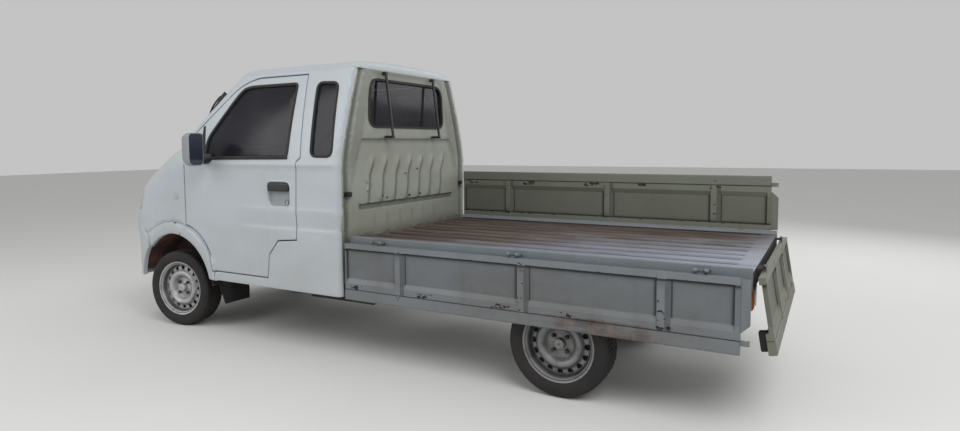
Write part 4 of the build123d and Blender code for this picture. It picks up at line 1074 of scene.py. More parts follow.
# Rear wall.
rear_window = rounded([(-0.425, 1.355), (0.425, 1.355), (0.410, 1.645), (-0.410, 1.645)], [0.07, 0.07, 0.09, 0.09])
WALL_SEAM = 1.280
wall_rise = np.linspace(SILL + 0.079, ROOF_SPLIT - FILLED_JOINT, 60)
wall_side = np.column_stack([half_width(wall_rise) - CORNER_SEAM - 0.001, wall_rise])
wall_edge = np.concatenate([wall_side, (wall_side * [-1, 1])[::-1]])
WALL_CREASES = 0.042 + 0.1355 * np.arange(-3, 4)
WALL_BAND = 0.873


def crease_shift(z):
    """The creases below the window lean: their tops lie to the right, their feet a little to the left."""
    return -0.055 * smooth_step(z, 1.03, 1.17) + 0.022 * smooth_step(z, 1.03, 0.90)


def wall_forms(points):
    """The parts of the rear wall's pressing, each from 0 to 1: the channel down each edge, the bay round the window,
    how far a point is below the window's ledge, the upright creases, the band of painted shade beside each crease,
    the groove above the bed, the short ribs below it, and the frame round the bay that is painted darker."""
    x, y, z = points.T
    from_edge = half_width(z) - CORNER_SEAM - np.abs(y)
    channel = bump(from_edge, 0.045, 0.013, 0.016)
    frame_reach = np.interp(z, [1.0, 1.12, WALL_SEAM, 1.70], [0.080, 0.122, 0.158, 0.150])
    bay = smooth_step(from_edge, frame_reach, frame_reach + 0.018)
    bay = bay * smooth_step(z, 1.690, 1.672) * smooth_step(z, 0.88, 1.16)
    frame = smooth_step(from_edge, 0.070, 0.078) * (1 - bay) * smooth_step(z, 1.02, 1.20)
    below = smooth_step(z, WALL_SEAM + 0.003, WALL_SEAM - 0.004)
    place = y - crease_shift(z) - WALL_CREASES[:, None]
    before, behind = smooth_step(place, -0.032, 0.002), smooth_step(place, 0.064, 0.002)
    crease = (behind * (place > 0) + before * (place <= 0)).sum(0)
    dark = bump(place, -0.016, 0.007, 0.016).sum(0)
    reach = bump(z, 1.025, 0.090, 0.075) * (np.abs(y) < 0.46)
    band = bump(z, WALL_BAND, 0.014, 0.006) * smooth_step(np.abs(y), 0.545, 0.530)
    foot = place - 0.066
    short = np.clip(1 - np.abs(foot) / 0.022, 0, 1).sum(0) * bump(z, 0.775, 0.045, 0.03) * (np.abs(y) < 0.5)
    return channel, bay, below, crease * reach, dark * reach, band, short, frame


def wall_relief(points):
    """The rear wall's face, pressed in by its channels and bays and out by its creases."""
    channel, bay, below, crease, dark, band, short, frame = wall_forms(points)
    return -0.016 * channel - (0.007 + 0.005 * below) * bay + 0.010 * crease - 0.012 * band + 0.004 * short


def wall_shade(points):
    """Painted shade, with some grime, in the wall's channels, behind its creases, in its groove, on its short ribs,
    under the ledge, round the window's frame and toward its foot.
    """
    channel, bay, below, crease, dark, band, short, frame = wall_forms(points)
    z = points[:, 2]
    ledge = bump(z, WALL_SEAM - 0.006, 0.005, 0.006) * bay
    foot = smooth_step(z, BED_TOP + 0.075, BED_TOP + 0.01) * 0.35
    from_behind = points[:, 0] < CAB_REAR + 0.04
    values = np.maximum.reduce([
        channel * 0.62, frame * 0.30, dark * 0.62, band * 0.55, ledge * 0.45, short * 0.25, foot,
    ])
    return values * from_behind


def wall_stain(points):
    """Rust and mud splashed up from the bed."""
    return 0.75 * smooth_step(points[:, 2], BED_TOP + 0.060, BED_TOP) * (points[:, 0] < CAB_REAR + 0.04)


BED_TOP = corners("bed_floor")[1][2]
wall_lines = [level_line(np.arange(-0.66, 0.67, 0.015), z)
              for z in (0.853, 0.859, 0.887, 0.893, WALL_SEAM - 0.010, WALL_SEAM - 0.004, WALL_SEAM + 0.003)]
for crease in WALL_CREASES:
    rise = np.linspace(0.87, 1.20, 34)
    for shift in (-0.032, -0.022, -0.011, 0.0, 0.011, 0.060):
        wall_lines.append(np.column_stack([crease + shift + crease_shift(rise), rise]))
for inset in (0.016, 0.024, 0.032, 0.058, 0.066, 0.074):
    for side in (-1, 1):
        wall_lines.append((wall_side - [inset, 0]) * [side, 1])
wall_mesh = plate(Behind, wall_edge, [rear_window], 0.024, 0.0006, 0.022, wall_relief, wall_lines)
wall = piece("rear_wall_panel", *wall_mesh, rear_paint_shaded, "chassis", ("cab_rear_wall",), "cab_paint")
mark(wall, "shade", wall_shade)
mark(wall, "stain", wall_stain)

# Nose panel with its holes.
SEAM_FOOT = (0.262, 0.612)
NOSE_FOOT, BUMPER_TOP, BUMPER_FOOT = 0.760, 0.757, 0.332
cut_z = COWL_Z - PANEL_GAP
nose_side_u = Around.flat(on_side(np.array([[DOOR_FRONT + DOOR_GAP, cut_z]])))[0, 0]
cowl_line = Around.solid(level_edge(cut_z, nose_side_u, -nose_side_u, 160))[0]
gap_side = on_side(door_gap_line)
lower = (door_gap_line[:, 1] < cut_z) & (door_gap_line[:, 0] > step_x)
door_side = gap_side[lower]
door_side = door_side[np.argsort(-door_side[:, 2])]
arch_turn = np.linspace(math.pi - 0.222, 0, 160)
arch_line = ARCH + ARCH_RADIUS * np.column_stack([np.cos(arch_turn), np.sin(arch_turn)])
arch_line = arch_line[(arch_line[:, 0] < ARCH[0] + SEAM_FOOT[0]) & (arch_line[:, 1] > SILL + PANEL_GAP)]
bumper_seam = spaced(np.array([(ARCH[0] + SEAM_FOOT[0], SEAM_FOOT[1]), (NOSE - 0.125, NOSE_FOOT)]), 0.02, False)
half_edge = on_side(np.concatenate([[[step_x, SILL + PANEL_GAP]], arch_line, bumper_seam]))
front_u = Around.flat(half_edge[-1:])[0, 0]
front_line = Around.solid(level_edge(NOSE_FOOT, front_u, -front_u, 120))[0]
left_half = np.concatenate([cowl_line[:1], door_side, half_edge])
nose_edge = np.concatenate([cowl_line[::-1][:-1], left_half, front_line[1:-1], (left_half * [1, -1, 1])[::-1]])
bonnet_edge = rounded([(1.484, -0.512), (1.957, -0.512), (1.957, 0.512), (1.484, 0.512)], [0.02, 0.06, 0.06, 0.02])
bonnet_hole = rounded([(1.466, -0.519), (1.964, -0.519), (1.964, 0.519), (1.466, 0.519)], [0.02, 0.066, 0.066, 0.02])

LAMP_SIDE = NOSE - 0.205
LAMP_INNER = 0.395
LAMP_FOOT, LAMP_TOP = 0.800, 0.930
GRILLE_HALF = 0.370
GRILLE_FOOT, GRILLE_TOP = 0.800, 0.900


def nose_press(points):
    """The nose's foot stands forward, more so lower down, to meet the bumper."""
    x, y, z = points.T
    return 0.048 * np.clip((0.985 - z) / 0.225, 0, 1) * smooth_step(x, 1.74, 1.93)


def lamp_outline(inset):
    """A headlamp's outline: up its inner side, back along the top to the wing and forward along the foot."""
    inner_uv = nose_chart.flat(on_front(LAMP_INNER + inset, np.linspace(LAMP_FOOT + inset, LAMP_TOP - inset, 10)))
    fall = np.linspace(LAMP_TOP - inset, LAMP_FOOT + inset, 10)
    outer = on_side(np.column_stack([np.full(10, LAMP_SIDE + inset), fall]))
    outer_uv = nose_chart.flat(outer)
    top = Around.solid(level_edge(LAMP_TOP - inset, Around.flat(nose_chart.solid(inner_uv[-1:])[0])[0, 0],
                                  Around.flat(outer[:1])[0, 0], 30))[0]
    foot_line = Around.solid(level_edge(LAMP_FOOT + inset, Around.flat(outer[-1:])[0, 0],
                                        Around.flat(nose_chart.solid(inner_uv[:1])[0])[0, 0], 30))[0]
    return np.concatenate([inner_uv, nose_chart.flat(top)[1:-1], outer_uv, nose_chart.flat(foot_line)[1:-1]])


grille_points = rounded([(-GRILLE_HALF, GRILLE_FOOT), (GRILLE_HALF, GRILLE_FOOT),
                         (GRILLE_HALF, GRILLE_TOP), (-GRILLE_HALF, GRILLE_TOP)], 0.02)
grille_hole = nose_chart.flat(on_front(*grille_points.T))
lamp_left = lamp_outline(0)
nose_holes = [nose_chart.flat(on_top(spaced(bonnet_hole, 0.02))), lamp_left, lamp_left * [-1, 1], grille_hole]
flare_lines = []
for radius in ARCH_RADIUS + np.array([0.012, 0.030, FLARE_WIDTH - 0.010, FLARE_WIDTH - 0.005, FLARE_WIDTH]):
    turn = np.linspace(0.25, math.pi - 0.15, 120)
    line = ARCH + radius * np.column_stack([np.cos(turn), np.sin(turn)])
    line = nose_chart.flat(on_side(line))
    flare_lines += [line, line * [-1, 1]]
nose_mesh = plate(nose_chart, nose_chart.flat(nose_edge), nose_holes, 0.026, 0.004, 0.026,
                  lambda points: side_press(points) + nose_press(points), flare_lines)
nose = piece("nose_shell", *nose_mesh, cab_paint, "chassis", ("nose_panel",), "cab_paint")
# A thin line of painted shade runs along each flare's outer edge.
mark(nose, "shade", lambda points: 0.30 * (np.abs(points[:, 1]) > 0.62) * bump(
    np.hypot(points[:, 0] - ARCH[0], points[:, 2] - ARCH[1]), ARCH_RADIUS + FLARE_WIDTH + 0.001, 0.0015, 0.004))


def bonnet_relief(points):
    """A broad raised field in the middle of the bonnet."""
    x, y, z = points.T
    return 0.006 * bump(y, 0, 0.300, 0.05) * bump(x, 1.72, 0.17, 0.05)


bonnet_mesh = plate(Above, bonnet_edge, [], 0.016, 0.004, 0.026, bonnet_relief)
piece("bonnet_panel", *bonnet_mesh, cab_paint, "bonnet", ("bonnet",), "cab_paint")


# Front bumper: its plan bows further forward than the cab's.
BUMPER_PLAN = traced([
    (ARCH[0] - 0.05, -CAB_HALF), (NOSE - 0.385, -CAB_HALF),
    (NOSE - 0.005, 0.135 - CAB_HALF, NOSE - 0.150, 0.028 - CAB_HALF),
    (NOSE - 0.005, CAB_HALF - 0.135, NOSE + 0.097, 0),
    (NOSE - 0.385, CAB_HALF, NOSE - 0.150, CAB_HALF - 0.028),
    (ARCH[0] - 0.05, CAB_HALF),
])


class Bowed:
    """The bumper's face: u runs along its plan from right to left, v is the height."""

    line = spaced(BUMPER_PLAN, 0.01, False)
    length = np.append(0, np.cumsum(np.linalg.norm(np.diff(line, axis=0), axis=1)))

    @classmethod
    def solid(cls, uv):
        place = np.column_stack([np.interp(uv[:, 0], cls.length, cls.line[:, i]) for i in (0, 1)])
        ahead = np.column_stack([
            np.interp(uv[:, 0] + 0.004, cls.length, cls.line[:, i])
            - np.interp(uv[:, 0] - 0.004, cls.length, cls.line[:, i]) for i in (0, 1)])
        ahead /= np.maximum(np.linalg.norm(ahead, axis=1), 1e-9)[:, None]
        normal = np.column_stack([ahead[:, 1], -ahead[:, 0], np.zeros(len(uv))])
        points = np.column_stack([place, uv[:, 1]])
        return points, normal


def bumper_side(points):
    """The way along the bumper of points in the left side view."""
    middle = Bowed.length[-1] / 2
    left = Bowed.length > middle
    order = np.argsort(Bowed.line[left, 0])
    u = np.interp(points[:, 0], Bowed.line[left, 0][order], Bowed.length[left][order])
    return np.column_stack([u, points[:, 1]])


arch_front = ARCH + (ARCH_RADIUS + 0.002) * np.column_stack([
    np.cos(np.linspace(0.124, 0.75, 40)), np.sin(np.linspace(0.124, 0.75, 40))])
bumper_left = bumper_side(np.concatenate([
    arch_front[arch_front[:, 0] > ARCH[0] + SEAM_FOOT[0]],
    [(ARCH[0] + SEAM_FOOT[0] + 0.003, SEAM_FOOT[1] - 0.003)], [(NOSE - 0.125, BUMPER_TOP)]]))
middle_u = Bowed.length[-1] / 2
bumper_edge = np.concatenate([
    bumper_left, level_edge(BUMPER_TOP, bumper_left[-1, 0], 2 * middle_u - bumper_left[-1, 0], 60)[1:-1],
    np.column_stack([2 * middle_u - bumper_left[::-1, 0], bumper_left[::-1, 1]]),
    level_edge(BUMPER_FOOT, 2 * middle_u - bumper_left[0, 0], bumper_left[0, 0], 100)[1:-1],
])


def bumper_relief(points):
    """The bumper's rolled top, the slot for the intake and the rake of its foot."""
    x, y, z = points.T
    face = smooth_step(np.abs(y), 0.60, 0.45)
    slot_space = bump(z, 0.50, 0.045, 0.012) * smooth_step(np.abs(y), 0.43, 0.41)
    rake = np.clip((0.66 - z) / 0.33, 0, 1) * smooth_step(x, 1.90, 1.98)
    shoulder = -0.018 * smooth_step(z, 0.70, 0.76) - 0.070 * rake
    return shoulder - 0.018 * slot_space * face


bumper_mesh = plate(Bowed, bumper_edge, [], 0.030, 0.008, 0.026, bumper_relief)
piece("bumper_shell", *bumper_mesh, cab_paint, "chassis", ("front_bumper",), "bumper_plastic")


# Glass.
def glass(chart, edge, gap, sunk=0.008):
    """A pane inside an edge, set back from the form's face."""
    return plate(chart, moved_edge(edge, -gap), [], 0.004, 0.001, 0.05, lambda points: np.full(len(points), -sunk))


two_sides("door_pane_{}", glass(Around, to_walls(door_window), -0.001),
          glass_dark, "door_{}", "door_glass_{}", "tinted_glass")
quarter_pane = glass(Around, to_walls(quarter_window), -0.001)
piece("quarter_panes", *both(quarter_pane), glass_dark, "chassis", ("quarter_glass",), "tinted_glass")
piece("rear_pane", *glass(Behind, rear_window, -0.001, 0.018),
      glass_dark, "chassis", ("rear_window",), "tinted_glass")
screen_right = screen_edge(pillar_rise, PILLAR + 0.004)
screen_outline = np.concatenate([screen_right, (screen_right * [-1, 1])[::-1]])
piece("screen_pane", *glass(Around, screen_outline, 0.0), glass_dark, "chassis", ("windscreen",), "tinted_glass")

# Bed: gates, floor and their hinges.
GATE_REAR, GATE_FRONT = corners("gate_right")[0][0] + 0.044, corners("gate_right")[1][0] + 0.010
BED_REAR, BED_FRONT = corners("bed_floor")[0][0], corners("bed_floor")[1][0]
BED_HALF = corners("bed_floor")[1][1]
HINGE_Y = joints["gate_left_hinge"]["pos_m"][1]
TAIL_HINGE_X = joints["tailgate_hinge"]["pos_m"][0]
GATE_FOOT = BED_TOP + 0.017
GATE_TOP = corners("gate_right")[1][2]
GATE_THICK = 0.035
SKIN = 0.0155
RAIL_STEP = GATE_TOP - 0.059
RAIL_FOOT = GATE_TOP - 0.125
SLOPE = 0.028
RIB_HALF_FACE = 0.017
RIB_SIDES = (0.024, 0.007)
GATE_RIBS = [-0.335, -1.068, -1.740]
GATE_HINGES = [-0.180, -1.018, -1.900]
TAIL_RIBS = [-0.220, 0.220]
TAIL_HALF = BED_HALF + 0.005


def lines(low, high, step, marks):
    """Grid lines from low to high: even ones, and closer ones within a reach of each marked place."""
    made = [np.linspace(low, high, int((high - low) / step) + 2)]
    for place, reach in marks:
        made.append(place + reach * np.linspace(-1, 1, 9))
    made = np.sort(np.concatenate(made))
    made = made[(made >= low) & (made <= high)]
    return made[np.append(True, np.diff(made) > 0.0004)]


def slab(us, vs, front, back):
    """A closed slab: two grids over the same lines, at the depths that front and back give, tied round the rim."""
    u, v = np.meshgrid(us, vs, indexing="ij")
    near = np.stack([u, front(u, v), v], -1).reshape(-1, 3)
    far = np.stack([u, back(u, v), v], -1).reshape(-1, 3)
    return tied(near, far, *u.shape)


def gate_rib(u, ribs):
    """A gate's ribs, 0 to 1: a flat face with a steep side to the front and a slanting one to the rear."""
    rear, front = RIB_SIDES
    rises = [np.minimum(np.clip((u - centre + RIB_HALF_FACE + rear) / rear, 0, 1),
                        np.clip((centre + RIB_HALF_FACE + front - u) / front, 0, 1)) for centre in ribs]
    return np.maximum.reduce(rises)


def gate_face(ribs, low, high):
    """The depth of a gate's inner face behind its front plane, over its length and height."""
    def depth(u, v):
        rib = gate_rib(u, ribs) * smooth_step(v, RAIL_STEP + 0.006, RAIL_STEP)
        slope = np.clip((v - RAIL_FOOT) / SLOPE, 0, 1)
        rail = slope * (SKIN - 0.004) + smooth_step(v, RAIL_STEP, RAIL_STEP + 0.003) * 0.004
        foot = smooth_step(v, GATE_FOOT + 0.031, GATE_FOOT + 0.028) * (SKIN - 0.002)
        post = smooth_step(u, low + 0.024, low + 0.020) + smooth_step(u, high - 0.012, high - 0.009)
        post = np.minimum(post, 1) * (SKIN - 0.003) * smooth_step(v, RAIL_STEP, RAIL_STEP - 0.003)
        plate = sum(bump(u, centre, 0.027, 0.002) for centre in ribs) * bump(v, RAIL_STEP - 0.012, 0.014, 0.002)
        groove = bump(v, RAIL_STEP - 0.0015, 0.001, 0.002) * 0.003
        raised = np.maximum.reduce([rib * SKIN, rail + plate * 0.0015, foot, post])
        return np.maximum(SKIN - raised, 0) + groove
    return depth


def gate_lines(ribs, low, high):
    """The grid lines of a gate, close where its ribs and rails turn."""
    rib_turns = ((0.0205, 0.007), (-0.029, 0.0145), (-0.045, 0.003))
    marks = [(rib + place, reach) for rib in ribs for place, reach in rib_turns]
    marks += [(low + 0.022, 0.004), (high - 0.0105, 0.003), (low + 0.001, 0.001), (high - 0.001, 0.001)]
    us = lines(low, high, 0.02, marks)
    marks = [(RAIL_FOOT, 0.006), (RAIL_FOOT + SLOPE, 0.006), (RAIL_STEP, 0.006), (GATE_FOOT + 0.0325, 0.007)]
    marks += [(RAIL_STEP - 0.026, 0.003), (GATE_TOP - 0.002, 0.002)]
    return us, lines(GATE_FOOT, GATE_TOP, 0.012, marks)


def gate_slab(ribs, low, high):
    """A gate's pressed sheet with both its faces."""
    us, vs = gate_lines(ribs, low, high)
    inner = gate_face(ribs, low, high)

    def front(u, v):
        """The inner face, rolled over at the top."""
        round_top = 0.003 * smooth_step(v, GATE_TOP - 0.004, GATE_TOP)
        return inner(u, v) + round_top

    def back(u, v):
        """The outer face: plain skin with the ribs' and rails' backs standing out of it."""
        rib = np.minimum(sum(bump(u, centre, 0.022, 0.006) for centre in ribs), 1)
        rail = smooth_step(v, RAIL_FOOT + 0.030, RAIL_FOOT + 0.036)
        foot = smooth_step(v, GATE_FOOT + 0.031, GATE_FOOT + 0.028)
        raised = np.maximum.reduce([rib * 0.8, rail, foot * 0.7])
        return SKIN + 0.006 + raised * (GATE_THICK - SKIN - 0.006)

    return slab(us, vs, front, back)


def knuckles(centres, along, point, radius=0.008, half=0.011):
    """The moving part of each hinge, with the strap that ties it to the gate's foot."""
    made = []
    for centre in centres:
        start, end = np.array(point, float), np.array(point, float)
        start[along], end[along] = centre - half, centre + half
        made.append(tube([start, end], radius, 20))
        low, high = start.copy(), end.copy()
        low[1 - along] -= 0.004
        high[1 - along] += 0.004
        low[2] += radius - 0.002
        high[2] = GATE_FOOT + 0.008
        made.append(soft_box(low, high, 0.001))
    return made


def side_gate_mesh():
    """The left gate standing up; its front plane faces the bed."""
    points, faces = gate_slab(GATE_RIBS, GATE_REAR, GATE_FRONT)
    inner = HINGE_Y - 0.022
    points = points + [0, inner, 0]
    flange = np.array([
        (0.0, GATE_FOOT), (0.0, GATE_TOP - 0.092), (-0.010, GATE_TOP - 0.096),
        (-0.043, GATE_TOP - 0.128), (-0.043, GATE_FOOT + 0.004),
    ]) + [GATE_REAR + 0.004, 0]
    sheet = [np.column_stack([flange[:, 0], np.full(5, inner + y), flange[:, 1]]) for y in (0.008, 0.013)]
    flange_faces = [[4, 3, 2, 1, 0], [5, 6, 7, 8, 9]] + [[i, (i + 1) % 5, (i + 1) % 5 + 5, i + 5] for i in range(5)]
    hook = swept(
        [(-0.0015, -0.012), (0.0015, -0.012), (0.0015, 0.012), (-0.0015, 0.012)],
        np.array([(GATE_REAR + 0.004, inner + 0.011, 0), (GATE_REAR - 0.010, inner + 0.010, 0),
                  (GATE_REAR - 0.022, inner + 0.006, 0), (GATE_REAR - 0.034, inner + 0.009, 0),
                  (GATE_REAR - 0.036, inner + 0.016, 0)]) + [0, 0, GATE_TOP - 0.052], (0, 0, 1))
    parts = [(points, faces), (np.concatenate(sheet), flange_faces), hook]
    parts += knuckles(GATE_HINGES, 0, (0, HINGE_Y, BED_TOP))
    return joined(parts)


def past(distance, hard, soft):
    """1 for the hard reach beyond an edge, then fading over the soft one; 0 before the edge."""
    return (distance > -0.0008) * np.maximum(smooth_step(distance, hard + 0.003, hard),
                                             0.42 * np.clip(1 - distance / soft, 0, 1))


def gate_shade(u, v, ribs, low, high):
    """Painted shade and grime on a gate's inner face: under its foot rail, by its ribs and posts, in its panels, its
    groove and hinges.
    """
    panel = (v > GATE_FOOT + 0.030) & (v < RAIL_FOOT + 0.004)
    edges = [past(v - GATE_FOOT - 0.0315, 0.007, 0.060),
             past(u - low - 0.024, 0.005, 0.05), past(high - 0.012 - u, 0.004, 0.04)]
    rear, front = RIB_SIDES
    for centre in ribs:
        edges.append(past(centre - RIB_HALF_FACE - rear - u, 0.005, 0.045))
        edges.append(past(u - centre - RIB_HALF_FACE - front, 0.003, 0.035))
    corner = np.maximum.reduce(edges) * panel
    # The ribs' slanting rear sides are painted darker, as painted shade.
    sides = [(u > centre - RIB_HALF_FACE - rear) & (u < centre - RIB_HALF_FACE - 0.001) for centre in ribs]
    side = sum(place.astype(float) for place in sides) * (v < RAIL_STEP)
    groove = bump(v, RAIL_STEP - 0.001, 0.0012, 0.002)
    # The recessed panels are painted a little darker, as painted shade.
    recess = 0.22 * panel * (1 - gate_rib(u, ribs))
    hinge = 0.55 * (v < GATE_FOOT - 0.002)
    return np.maximum.reduce([corner, side * 0.52 * (v > GATE_FOOT + 0.03), groove * 0.75, recess, hinge])


WORN_SPOTS = [(-0.046, 0.045), (-0.500, 0.055), (-0.955, 0.060), (-1.300, 0.030), (-1.750, 0.035)]


def gate_wear(u, v, ribs):
    """Worn places: along the rails' edges, on the ribs, and where the latches have struck the rail."""
    edges = np.maximum.reduce([bump(v, GATE_FOOT + 0.029, 0.001, 0.007), bump(v, RAIL_STEP, 0.001, 0.006) * 0.7,
                               bump(v, GATE_TOP, 0.001, 0.006) * 0.8])
    rib = sum(bump(u, centre, RIB_HALF_FACE, 0.006) for centre in ribs) * 0.42
    struck = sum(bump(u, place, reach * 0.6, reach) for place, reach in WORN_SPOTS)
    struck = struck * bump(v, RAIL_STEP - 0.016, 0.008, 0.012)
    return np.maximum.reduce([edges * 0.62, rib, struck * 0.95])


def gate_stain(u, v, wheel_rust):
    """Rust on the free rail, most of it over the rear wheel, and faint runs below the foot rail."""
    rail = smooth_step(v, RAIL_STEP - 0.030, RAIL_STEP - 0.005) * bump(u, -1.47, 0.16, 0.26)
    foot = 0.30 * smooth_step(v, GATE_FOOT + 0.060, GATE_FOOT + 0.032) * (v > GATE_FOOT + 0.030)
    return np.maximum(rail * wheel_rust, foot)


def dress_gate(thing, upright, ribs, low, high, along, wheel_rust=0.0):
    """Marks a gate's painted shade and grime, wear and rust; upright is the turn that stands the piece's points up
    again.
    """
    turn = np.array(upright)

    def places(points):
        stood = points @ turn[:3, :3].T + turn[:3, 3]
        return stood[:, along], stood[:, 2]

    mark(thing, "shade", lambda points: gate_shade(*places(points), ribs, low, high))
    mark(thing, "wear", lambda points: gate_wear(*places(points), ribs))
    mark(thing, "stain", lambda points: gate_stain(*places(points), wheel_rust))


def turn_about(point, angle, axis):
    """A turn about the line through a point along an axis."""
    home = Matrix.Translation([-place for place in point])
    return Matrix.Translation(point) @ Matrix.Rotation(angle, 4, axis) @ home


gate = side_gate_mesh()
right_gate = piece("gate_right_panel", *mirrored(gate), inner_gate_paint, "gate_right", ("gate_right",), "bed_paint")
dress_gate(right_gate, Matrix.Identity(4), GATE_RIBS, GATE_REAR, GATE_FRONT, 0)
half_turn = turn_about((0, HINGE_Y, BED_TOP), math.pi, "X")
left_gate = piece("gate_left_panel", *placed(gate, half_turn), gate_paint, "gate_left", ("gate_left",), "bed_paint")
dress_gate(left_gate, half_turn.inverted(), GATE_RIBS, GATE_REAR, GATE_FRONT, 0, 1.0)


def tailgate_mesh():
    """The tailgate standing up; its front plane faces the bed."""
    points, faces = gate_slab(TAIL_RIBS, -TAIL_HALF, TAIL_HALF)
    inner = TAIL_HINGE_X + 0.018
    turned = np.column_stack([inner - points[:, 1], points[:, 0], points[:, 2]])
    parts = [(turned, faces)] + knuckles([-0.480, 0.480], 1, (TAIL_HINGE_X, 0, BED_TOP))
    return joined(parts)


TAIL_LEAN = math.radians(171)
tail_turn = turn_about((TAIL_HINGE_X, 0, BED_TOP), -TAIL_LEAN, "Y")
tail_gate = piece("tailgate_panel", *placed(tailgate_mesh(), tail_turn),
                  inner_gate_paint, "tailgate", ("tailgate",), "bed_paint")
dress_gate(tail_gate, tail_turn.inverted(), TAIL_RIBS, -TAIL_HALF, TAIL_HALF, 1)
buffer_low, buffer_high = TAIL_HINGE_X - 0.047, TAIL_HINGE_X - 0.010
buffer = soft_box((buffer_low, -0.638, GATE_TOP - 0.095), (buffer_high, -0.598, GATE_TOP - 0.010), 0.006)
piece("tailgate_buffers", *placed(both(buffer), tail_turn), rubber, "tailgate")

# Floor: pressed ribs along the bed, flat strips round them.
RIB_PITCH, RIB_HALF, RIB_RISE = 0.131, 0.038, 0.012
FLOOR_NOTCH = 0.034


def floor_height(u, w):
    """The floor's height over its length u and width w: nine ribs that run out before the rear sill."""
    place = w / RIB_PITCH
    across = np.abs(place - np.round(place)) * RIB_PITCH
    ribs = smooth_step(across, RIB_HALF + 0.007, RIB_HALF - 0.003)
    ends = np.minimum(smooth_step(u, BED_REAR + 0.075, BED_REAR + 0.100),
                      smooth_step(u, BED_FRONT - 0.020, BED_FRONT - 0.040))
    rim = smooth_step(np.abs(w), BED_HALF - 0.034, BED_HALF - 0.026)
    solid = np.maximum.reduce([ribs * (np.abs(w) < 0.60), 1 - ends, rim])
    return BED_TOP - RIB_RISE * (1 - solid)


def floor_mesh():
    """The bed's ribbed floor."""
    us = lines(BED_REAR, BED_FRONT, 0.03, [(BED_REAR + 0.0875, 0.016), (BED_FRONT - 0.030, 0.012)])
    marks = [(rib * RIB_PITCH + side * 0.040, 0.007) for rib in range(-4, 5) for side in (-1, 1)]
    marks += [(side * (BED_HALF - 0.030), 0.006) for side in (-1, 1)]
    ws = lines(-BED_HALF, BED_HALF, 0.02, marks)
    u, w = np.meshgrid(us, ws, indexing="ij")
    top = np.stack([u, w, floor_height(u, w)], -1).reshape(-1, 3)
    return tied(top, top - [0, 0, 0.003], *u.shape)


bed_steel = Finish("bed_floor_paint")
sweep = bed_steel.noise(1.1, 5.0, 0.6, (1, 1.4, 1), 2.0)
scratch = bed_steel.noise(14.0, 5.0, 0.65, (0.12, 1, 1), 5.0)
toward_front = (bed_steel.x * 0.60 + bed_steel.y * -0.9 + sweep * 1.8).step(-0.55, 0.30)
dirt = bed_steel.mix(tone(84, 72, 62), tone(60, 50, 42), scratch.step(0.38, 0.62))
worn = bed_steel.mix(tone(124, 130, 144), tone(90, 90, 96), scratch.step(0.42, 0.7))
groove = bed_steel.z.step(BED_TOP - 0.003, BED_TOP - 0.011)
surface = bed_steel.mix(worn, dirt, toward_front)
bed_steel.colour(bed_steel.mix(surface, tone(42, 34, 29), (groove * (0.62 + sweep * 0.5)).smaller(1.0)))
bed_steel.rough(0.5 + toward_front * 0.3)
bed_steel.bump(scratch, 0.0006, 0.5)
piece("floor_sheet", *floor_mesh(), bed_steel.material, "chassis", ("bed_floor",), "bed_paint")


# Wheels: each is turned about its own axle, outward along +Z before it is put in place.
def wheel_paint(name, clean, dull):
    """A pressed wheel's paint, clouded with brake dust; marked places are darkened by painted shade and dirt."""
    steel = Finish(name, Metallic=0.5)
    smut = steel.noise(18.0, 5.0, 0.6)
    pale = steel.mix(clean, dull, smut.step(0.44, 0.78))
    # Marked places are mixed toward near-black: painted shade with dirt.
    steel.colour(steel.mix(pale, tone(38, 34, 32), (steel.marked("shade") * (0.7 + smut * 0.6)).smaller(1.0)))
    steel.rough(0.42 + smut * 0.2)
    steel.bump(steel.noise(300.0), 0.0003, 0.4)
    return steel.material


front_steel = wheel_paint("wheel_steel_front", tone(168, 168, 171), tone(130, 122, 114))
# The rear wheels' steel is set darker than the front's, as painted shade with more dirt.
rear_steel_shaded = wheel_paint("wheel_steel_rear", tone(124, 126, 126), tone(88, 84, 78))
# A near-black ring behind each disc: the drum, painted as the shade that shows through the disc's holes.
shade_drum_black = plain("brake_drum", tone(20, 20, 21), tone(40, 32, 27), 0.85, 40)
nut_metal = plain("nut_metal", tone(58, 52, 48), tone(80, 64, 52), 0.5, 80, 0.6)
tyre_rubber = plain("tyre_rubber", tone(20, 19, 20), tone(38, 34, 32), 0.82, 40)


def rim_section():
    """The rim's closed half section, radius and outward distance: double flange, bead seat, well and back flange."""
    return [
        (0.150, 0.012), (0.152, 0.030), (0.157, 0.046), (0.1655, 0.056), (0.1655, 0.060), (0.170, 0.0655),
        (0.178, 0.0665), (0.184, 0.0690), (0.1885, 0.0705), (0.190, 0.0690), (0.190, 0.0655), (0.1865, 0.0640),
        (0.180, 0.0620), (0.1765, 0.056), (0.176, 0.048), (0.160, 0.042), (0.158, 0.015), (0.170, 0.004),
        (0.1765, -0.050), (0.178, -0.062), (0.190, -0.0665), (0.190, -0.0700), (0.183, -0.0700), (0.170, -0.062),
        (0.166, -0.046), (0.152, 0.000),
    ]


HOLE_CIRCLE = 0.141
HOLE_RADIUS = 0.0150
HOLE_COUNT = 16
NUT_CIRCLE = 0.050
DISC_RADIUS = 0.156


def disc_height(radius):
    """The pressed disc's outer face: a dished hub seat, a raised crown ring and a flat with the holes."""
    places = [0.0, 0.034, 0.040, 0.066, 0.074, 0.088, 0.098, 0.108, 0.116, 0.122, 0.128, 0.150, DISC_RADIUS]
    heights = [0.026, 0.026, 0.022, 0.022, 0.026, 0.047, 0.052, 0.053, 0.048, 0.038, 0.032, 0.030, 0.024]
    even = np.linspace(0, DISC_RADIUS, 400)
    smooth = np.interp(even, places, heights)
    kernel = np.hanning(17)
    kernel /= kernel.sum()
    padded = np.pad(smooth, 8, "edge")
    return np.interp(radius, even, np.convolve(padded, kernel, "valid"))


